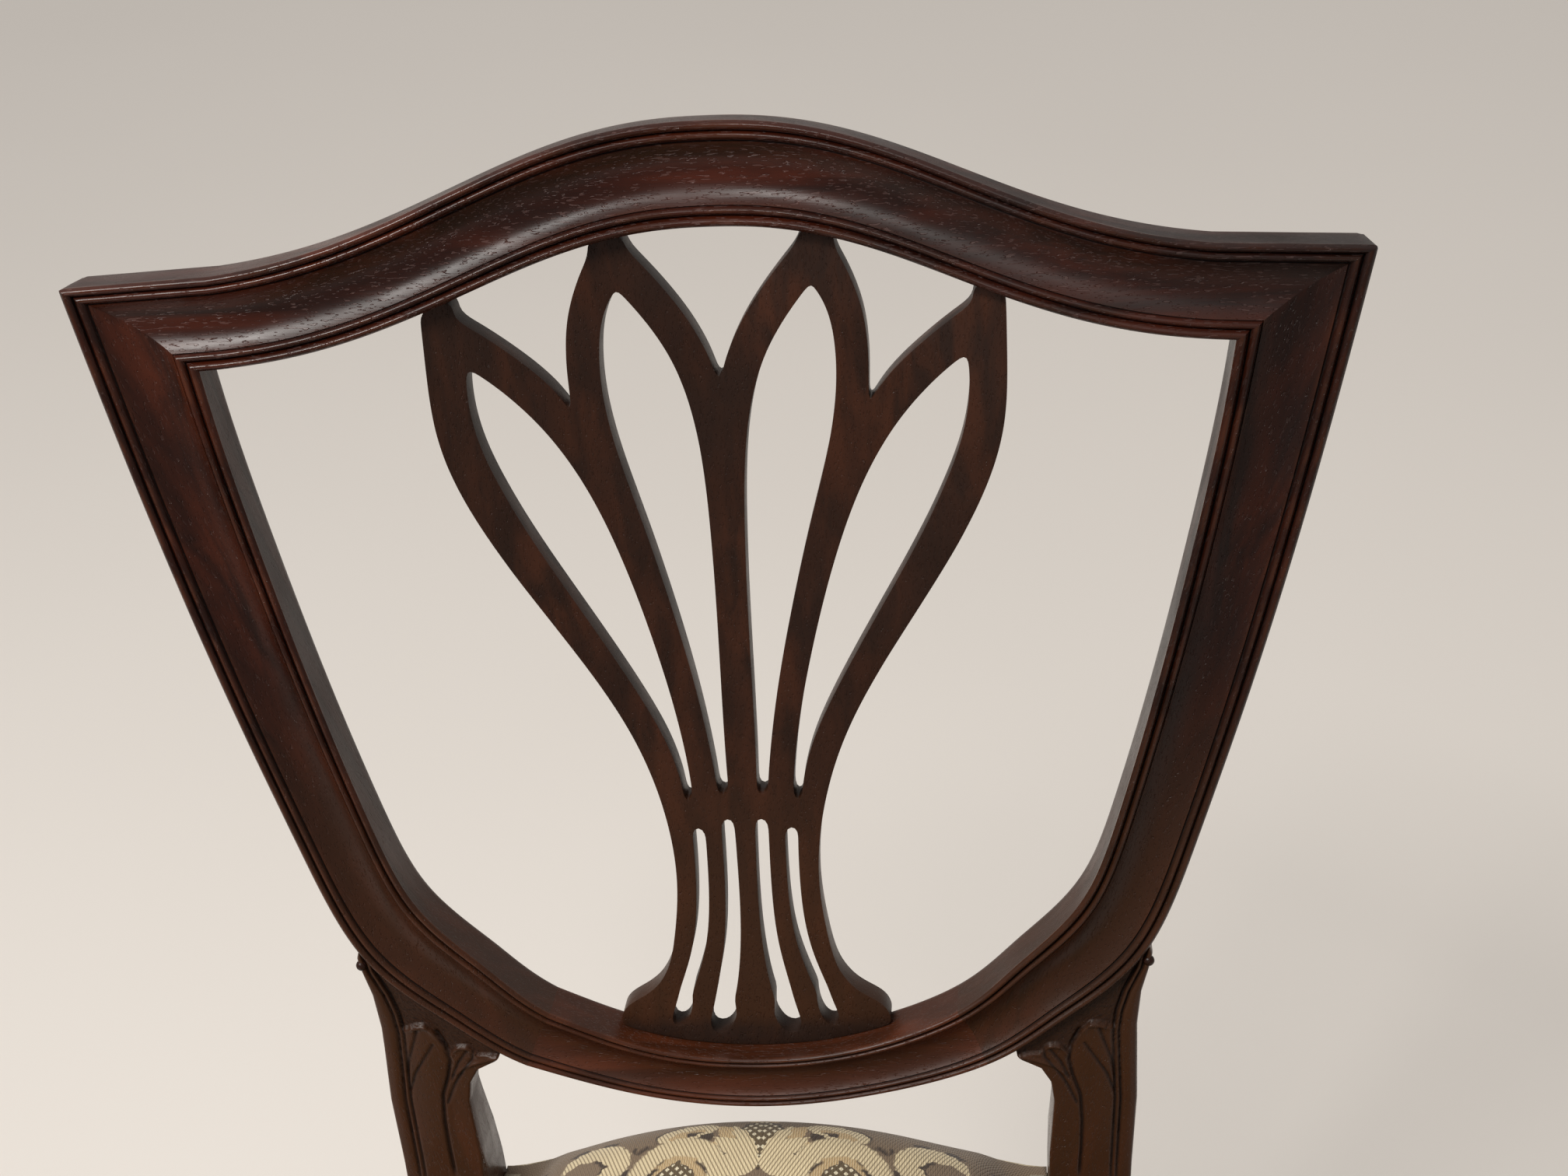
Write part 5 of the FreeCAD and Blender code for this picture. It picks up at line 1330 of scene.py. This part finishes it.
def damask_material():
    material, add, shader, _ = new_material("damask")
    cloth = add.attribute("cloth", "Vector")
    split = add.node("ShaderNodeSeparateXYZ", {0: cloth}).outputs
    wide, long = split["X"], split["Y"]
    across = add.math("PINGPONG", add.times(wide, FIGURE), REPEAT_HALF)
    deep = add.times_plus(long, FIGURE, FIGURE_START)
    deep = add.math("WRAP", deep, REPEAT_DEEP + REPEAT_LOW, REPEAT_LOW)
    flat = add.node("ShaderNodeCombineXYZ", {0: across, 1: deep}).outputs[0]
    frayed = add.noise(flat, 0.2, 1, out="Color")
    shift = add.vector_math("SUBTRACT", frayed, (0.5, 0.5, 0.5))
    drawn = add.vector_math("ADD", flat, add.vector_math("MULTIPLY", shift, FRAY))

    def local(centre, half, turn):
        """Coordinates in which a shape reaches from minus one to one."""
        values = {"Vector": drawn, "Location": (*centre, 0),
                  "Rotation": (0, 0, math.radians(turn)), "Scale": (*half, 1)}
        return add.node("ShaderNodeMapping", values, vector_type="TEXTURE").outputs[0]

    def leaf(shape):
        """Below one inside a leaf with two sharp ends."""
        sides = add.node("ShaderNodeSeparateXYZ", {0: local(*shape)}).outputs
        return add.math("ADD", add.times(sides[0], sides[0]), add.math("ABSOLUTE", sides[1]))

    def oval(shape):
        return add.vector_math("LENGTH", local(*shape))

    def crescent(shape):
        away = oval(shape[:3])
        if shape[3]:
            hole = add.math("SUBTRACT", 2, oval((shape[3], shape[4], shape[2])))
            away = add.math("MAXIMUM", away, hole)
        return away

    def nearest(*kinds):
        """The smallest of all shapes, joined one by one as they are made."""
        least = None
        for measure, shapes in kinds:
            for shape in shapes:
                away = measure(shape)
                least = add.math("MINIMUM", least, away) if least else away
        return least

    cream_away = nearest((leaf, CREAM_LEAVES), (crescent, CRESCENTS))
    gold_away = nearest((leaf, GOLD_LEAVES), (oval, GOLD_OVALS))
    diaper_away = nearest((leaf, DIAPER_LEAVES))
    cream, gold, diaper = [add.ramp(away, 1.04, 0.96)
                           for away in (cream_away, gold_away, diaper_away)]
    patches = add.ramp(add.noise(flat, 0.045, 1), 0.5, 0.56)
    rim = add.times(add.ramp(cream_away, 1.24, 1.14), patches)
    shadow = add.math("MAXIMUM", rim, add.times(add.ramp(diaper_away, 1.2, 1.12), 0.9))

    def threads(tilt, pitch, low, high):
        """Fine lines across the cloth at a slant."""
        run = add.times_plus(long, tilt, add.math("ABSOLUTE", wide))
        return add.ramp(add.math("SINE", add.times(run, pitch)), low, high)

    ribs = threads(0, RIB, -0.9, 0.9)
    binding = threads(0.45, THREAD, 0.1, 0.9)
    lozenge = add.times(threads(0.8, LOZENGE, -0.3, 0.4), threads(-0.8, LOZENGE, -0.3, 0.4))
    mottled = add.noise(cloth, 0.08, 3)
    ground = add.mix(add.times(ribs, 0.35), GROUND_COLOUR, GROUND_DARK)
    floats = add.mix(add.times(binding, 0.75), CREAM, BINDING)
    filling = add.mix(lozenge, DIAPER_DARK, DIAPER_PALE)
    rich = add.mix(add.times(ribs, 0.5), GOLD, CREAM)
    colour = ground
    for share, layer in ((gold, rich), (shadow, SHADOW), (diaper, filling), (cream, floats),
                         (add.times(mottled, 0.22), OLD_DUST)):
        colour = add.mix(share, colour, layer)
    add.fill(shader, Base_Color=colour, Roughness=add.times_plus(cream, -0.22, 0.82),
               Sheen_Weight=0.15)
    relief = add.times_plus(ribs, 0.5, add.times_plus(binding, -0.8, 1))
    add.bump(shader, relief, BUMP_STRENGTH, BUMP_DEPTH)
    return material


damask = damask_material()
print("damask has", len(damask.node_tree.nodes), "nodes")

# %% [markdown]
# ## Plain cloths and steel
# Jute web, the stout cloth and the thin black cloth are all plain weaves, so
# one group crosses two sets of threads and each cloth gives its own colours.
# The hidden screws get a scratched steel.

# %% Make the plain weaves
def weave_group():
    group, add, given, out = new_group("plain_weave", ("Vector", "Pitch"),
                                       ("Over", "Height", "Slub"))
    split = add.node("ShaderNodeSeparateXYZ", {0: given["Vector"]}).outputs
    waves = []
    for axis in ("X", "Y"):
        turns = add.math("DIVIDE", split[axis], given["Pitch"])
        waves.append(add.math("SINE", add.times(turns, math.pi)))
    both = add.times(*waves)
    slub = add.noise(given["Vector"], 260, 3, (1, 0.06, 1))
    add.fill(out, Over=add.ramp(both, -0.3, 0.3), Height=add.math("ABSOLUTE", both),
               Slub=add.ramp(slub, 0.35, 0.7))
    return group


WEAVE = weave_group()


def cloth_material(name, pitch, first, second, slub):
    material, add, shader, place = new_material(name)
    weave = add.use(WEAVE, {"Vector": place, "Pitch": pitch})
    colour = add.mix(weave["Over"], first, second)
    add.fill(shader, Base_Color=add.mix(add.times(weave["Slub"], 0.5), colour, slub),
               Roughness=0.92)
    add.bump(shader, weave["Height"], BUMP_STRENGTH, pitch * 0.5)
    return material


jute = cloth_material("jute_web", 0.0012, (0.33, 0.23, 0.12), (0.24, 0.16, 0.08),
                      (0.42, 0.32, 0.2))
linen = cloth_material("stout_cloth", 0.0009, (0.42, 0.36, 0.26), (0.34, 0.28, 0.19),
                       (0.5, 0.44, 0.34))
black_weave = cloth_material("black_cloth", 0.0007, (0.012, 0.012, 0.013), (0.02, 0.02, 0.021),
                             (0.035, 0.034, 0.033))


def steel_material():
    material, add, shader, place = new_material("screw_steel")
    marks = add.noise(place, 900, 3)
    add.fill(shader, Base_Color=add.mix(marks, (0.3, 0.29, 0.27), (0.52, 0.51, 0.49)),
               Roughness=add.times_plus(marks, 0.3, 0.25), Metallic=1)
    add.bump(shader, marks, 0.3, 0.0001)
    return material


steel = steel_material()

# %% [markdown]
# ## Dress the pieces
# Every new piece rides on the chair's one body, takes the material given to it,
# and hides the plain solid it stands for. The pieces that are never seen keep
# their solids and get their own wood.

# %% Dress the pieces
def cover(piece, material):
    piece.data.materials.clear()
    piece.data.materials.append(material)


def dress(piece, material, slot, *replaced):
    cover(piece, material)
    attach(piece, "root")
    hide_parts(*replaced)
    print(piece.name, "stands for", *replaced)


dress(crest, mahogany, "mahogany", "crest_rail")
dress(lower_rail, red_wood, "mahogany_red", "shield_lower_rail")
dress(splat, splat_wood, "mahogany", "splat")
for name in ("right", "left"):
    dress(rear_legs[name], stile_wood[name], "mahogany", name + "_rear_leg")
    dress(sticks[name + "_front_leg"], leg_wood, "mahogany", name + "_front_leg")
    dress(sticks[name + "_side_stretcher"], side_wood, "mahogany", name + "_side_stretcher")
for name in ("cross_stretcher", "rear_stretcher"):
    dress(sticks[name], mahogany, "mahogany", name)
dress(seat, damask, "figured_fabric", "seat_cover", "seat_pad")
for name, piece in webs.items():
    dress(piece, jute, "webbing", name)
dress(base_cloth, linen, "linen", "foundation_cloth")
dress(black_cloth, black_weave, "dust_cloth", "dust_cover")
for name, piece in nodes.items():
    if "seat_rail" in name or "corner_block" in name or "dowels" in name:
        cover(piece, beech)
cover(nodes["block_screws"], steel)

# %% [markdown]
# ## Room and light
# The photograph has a warm white room with its main light above and to the
# left. A broad pale floor stands in for the room, two soft lamps give the light
# lines along the beads, and a wide sun from above and a pale sky fill the shadows.

# %% Build the room
FLOOR_HALF = 9
LAMP_COLOUR = (1, 0.97, 0.93)
# Each lamp: its spot, the spot it points at, its two sides and its power.
LAMPS = {"key": ((-1.3, -0.85, 2.2), (0, 0.15, 0.75), (0.6, 0.5), 13),
         "long": ((-0.75, -0.75, 2.5), (0, 0.2, 0.8), (1.1, 0.35), 37)}
SUN_POWER = 0.8
SUN_SPREAD = math.radians(80)
SUN_TURN = (math.radians(-12), math.radians(-18), 0)
SUN_COLOUR = (1, 0.97, 0.94)
SKY_SEEN = (0.43, 0.412, 0.39)
SKY_LIGHT = (0.33, 0.318, 0.306)


def build_floor():
    bm = bmesh.new()
    bmesh.ops.create_grid(bm, x_segments=1, y_segments=1, size=FLOOR_HALF)
    floor = new_object(bm, "floor")
    material, add, shader, place = new_material("pale_floor")
    cloud = add.noise(place, 1.2, 2)
    add.fill(shader, Base_Color=add.mix(cloud, (0.79, 0.75, 0.705), (0.75, 0.71, 0.665)),
               Roughness=0.95)
    cover(floor, material)
    floor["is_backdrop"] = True


def add_lamp(name, kind, power, colour):
    data = bpy.data.lights.new(name, kind)
    data.energy, data.color = power, colour
    return add_object(name, data), data


def build_sky():
    """A pale room where it is seen, also in the polish, and dimmer as a light."""
    world = bpy.data.worlds.new("room")
    world.use_nodes = True
    add = Recipe(world.node_tree)
    rays = add.node("ShaderNodeLightPath").outputs
    seen = add.math("MAXIMUM", rays["Is Camera Ray"], rays["Is Glossy Ray"])
    seen = add.math("MAXIMUM", seen, rays["Is Transmission Ray"])
    add.fill(world.node_tree.nodes["Background"].inputs,
               Color=add.mix(seen, SKY_LIGHT, SKY_SEEN), Strength=1)
    bpy.context.scene.world = world


build_floor()
for name, (spot, target, size, power) in LAMPS.items():
    lamp, data = add_lamp(name, "AREA", power, LAMP_COLOUR)
    data.shape = "RECTANGLE"
    data.size, data.size_y = size
    lamp.location = spot
    lamp.rotation_euler = (Vector(target) - Vector(spot)).to_track_quat("-Z", "Y").to_euler()
top_light, sun = add_lamp("soft_top", "SUN", SUN_POWER, SUN_COLOUR)
sun.angle = SUN_SPREAD
top_light.rotation_euler = SUN_TURN
build_sky()
bpy.context.scene.view_settings.view_transform = "Standard"
print("lamps", [*LAMPS, top_light.name])

# %% Finish
boxes = {"cad": cad_box, "visual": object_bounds()}
for key, box in boxes.items():
    print(key, "box", [[round(v, 4) for v in corner] for corner in box])
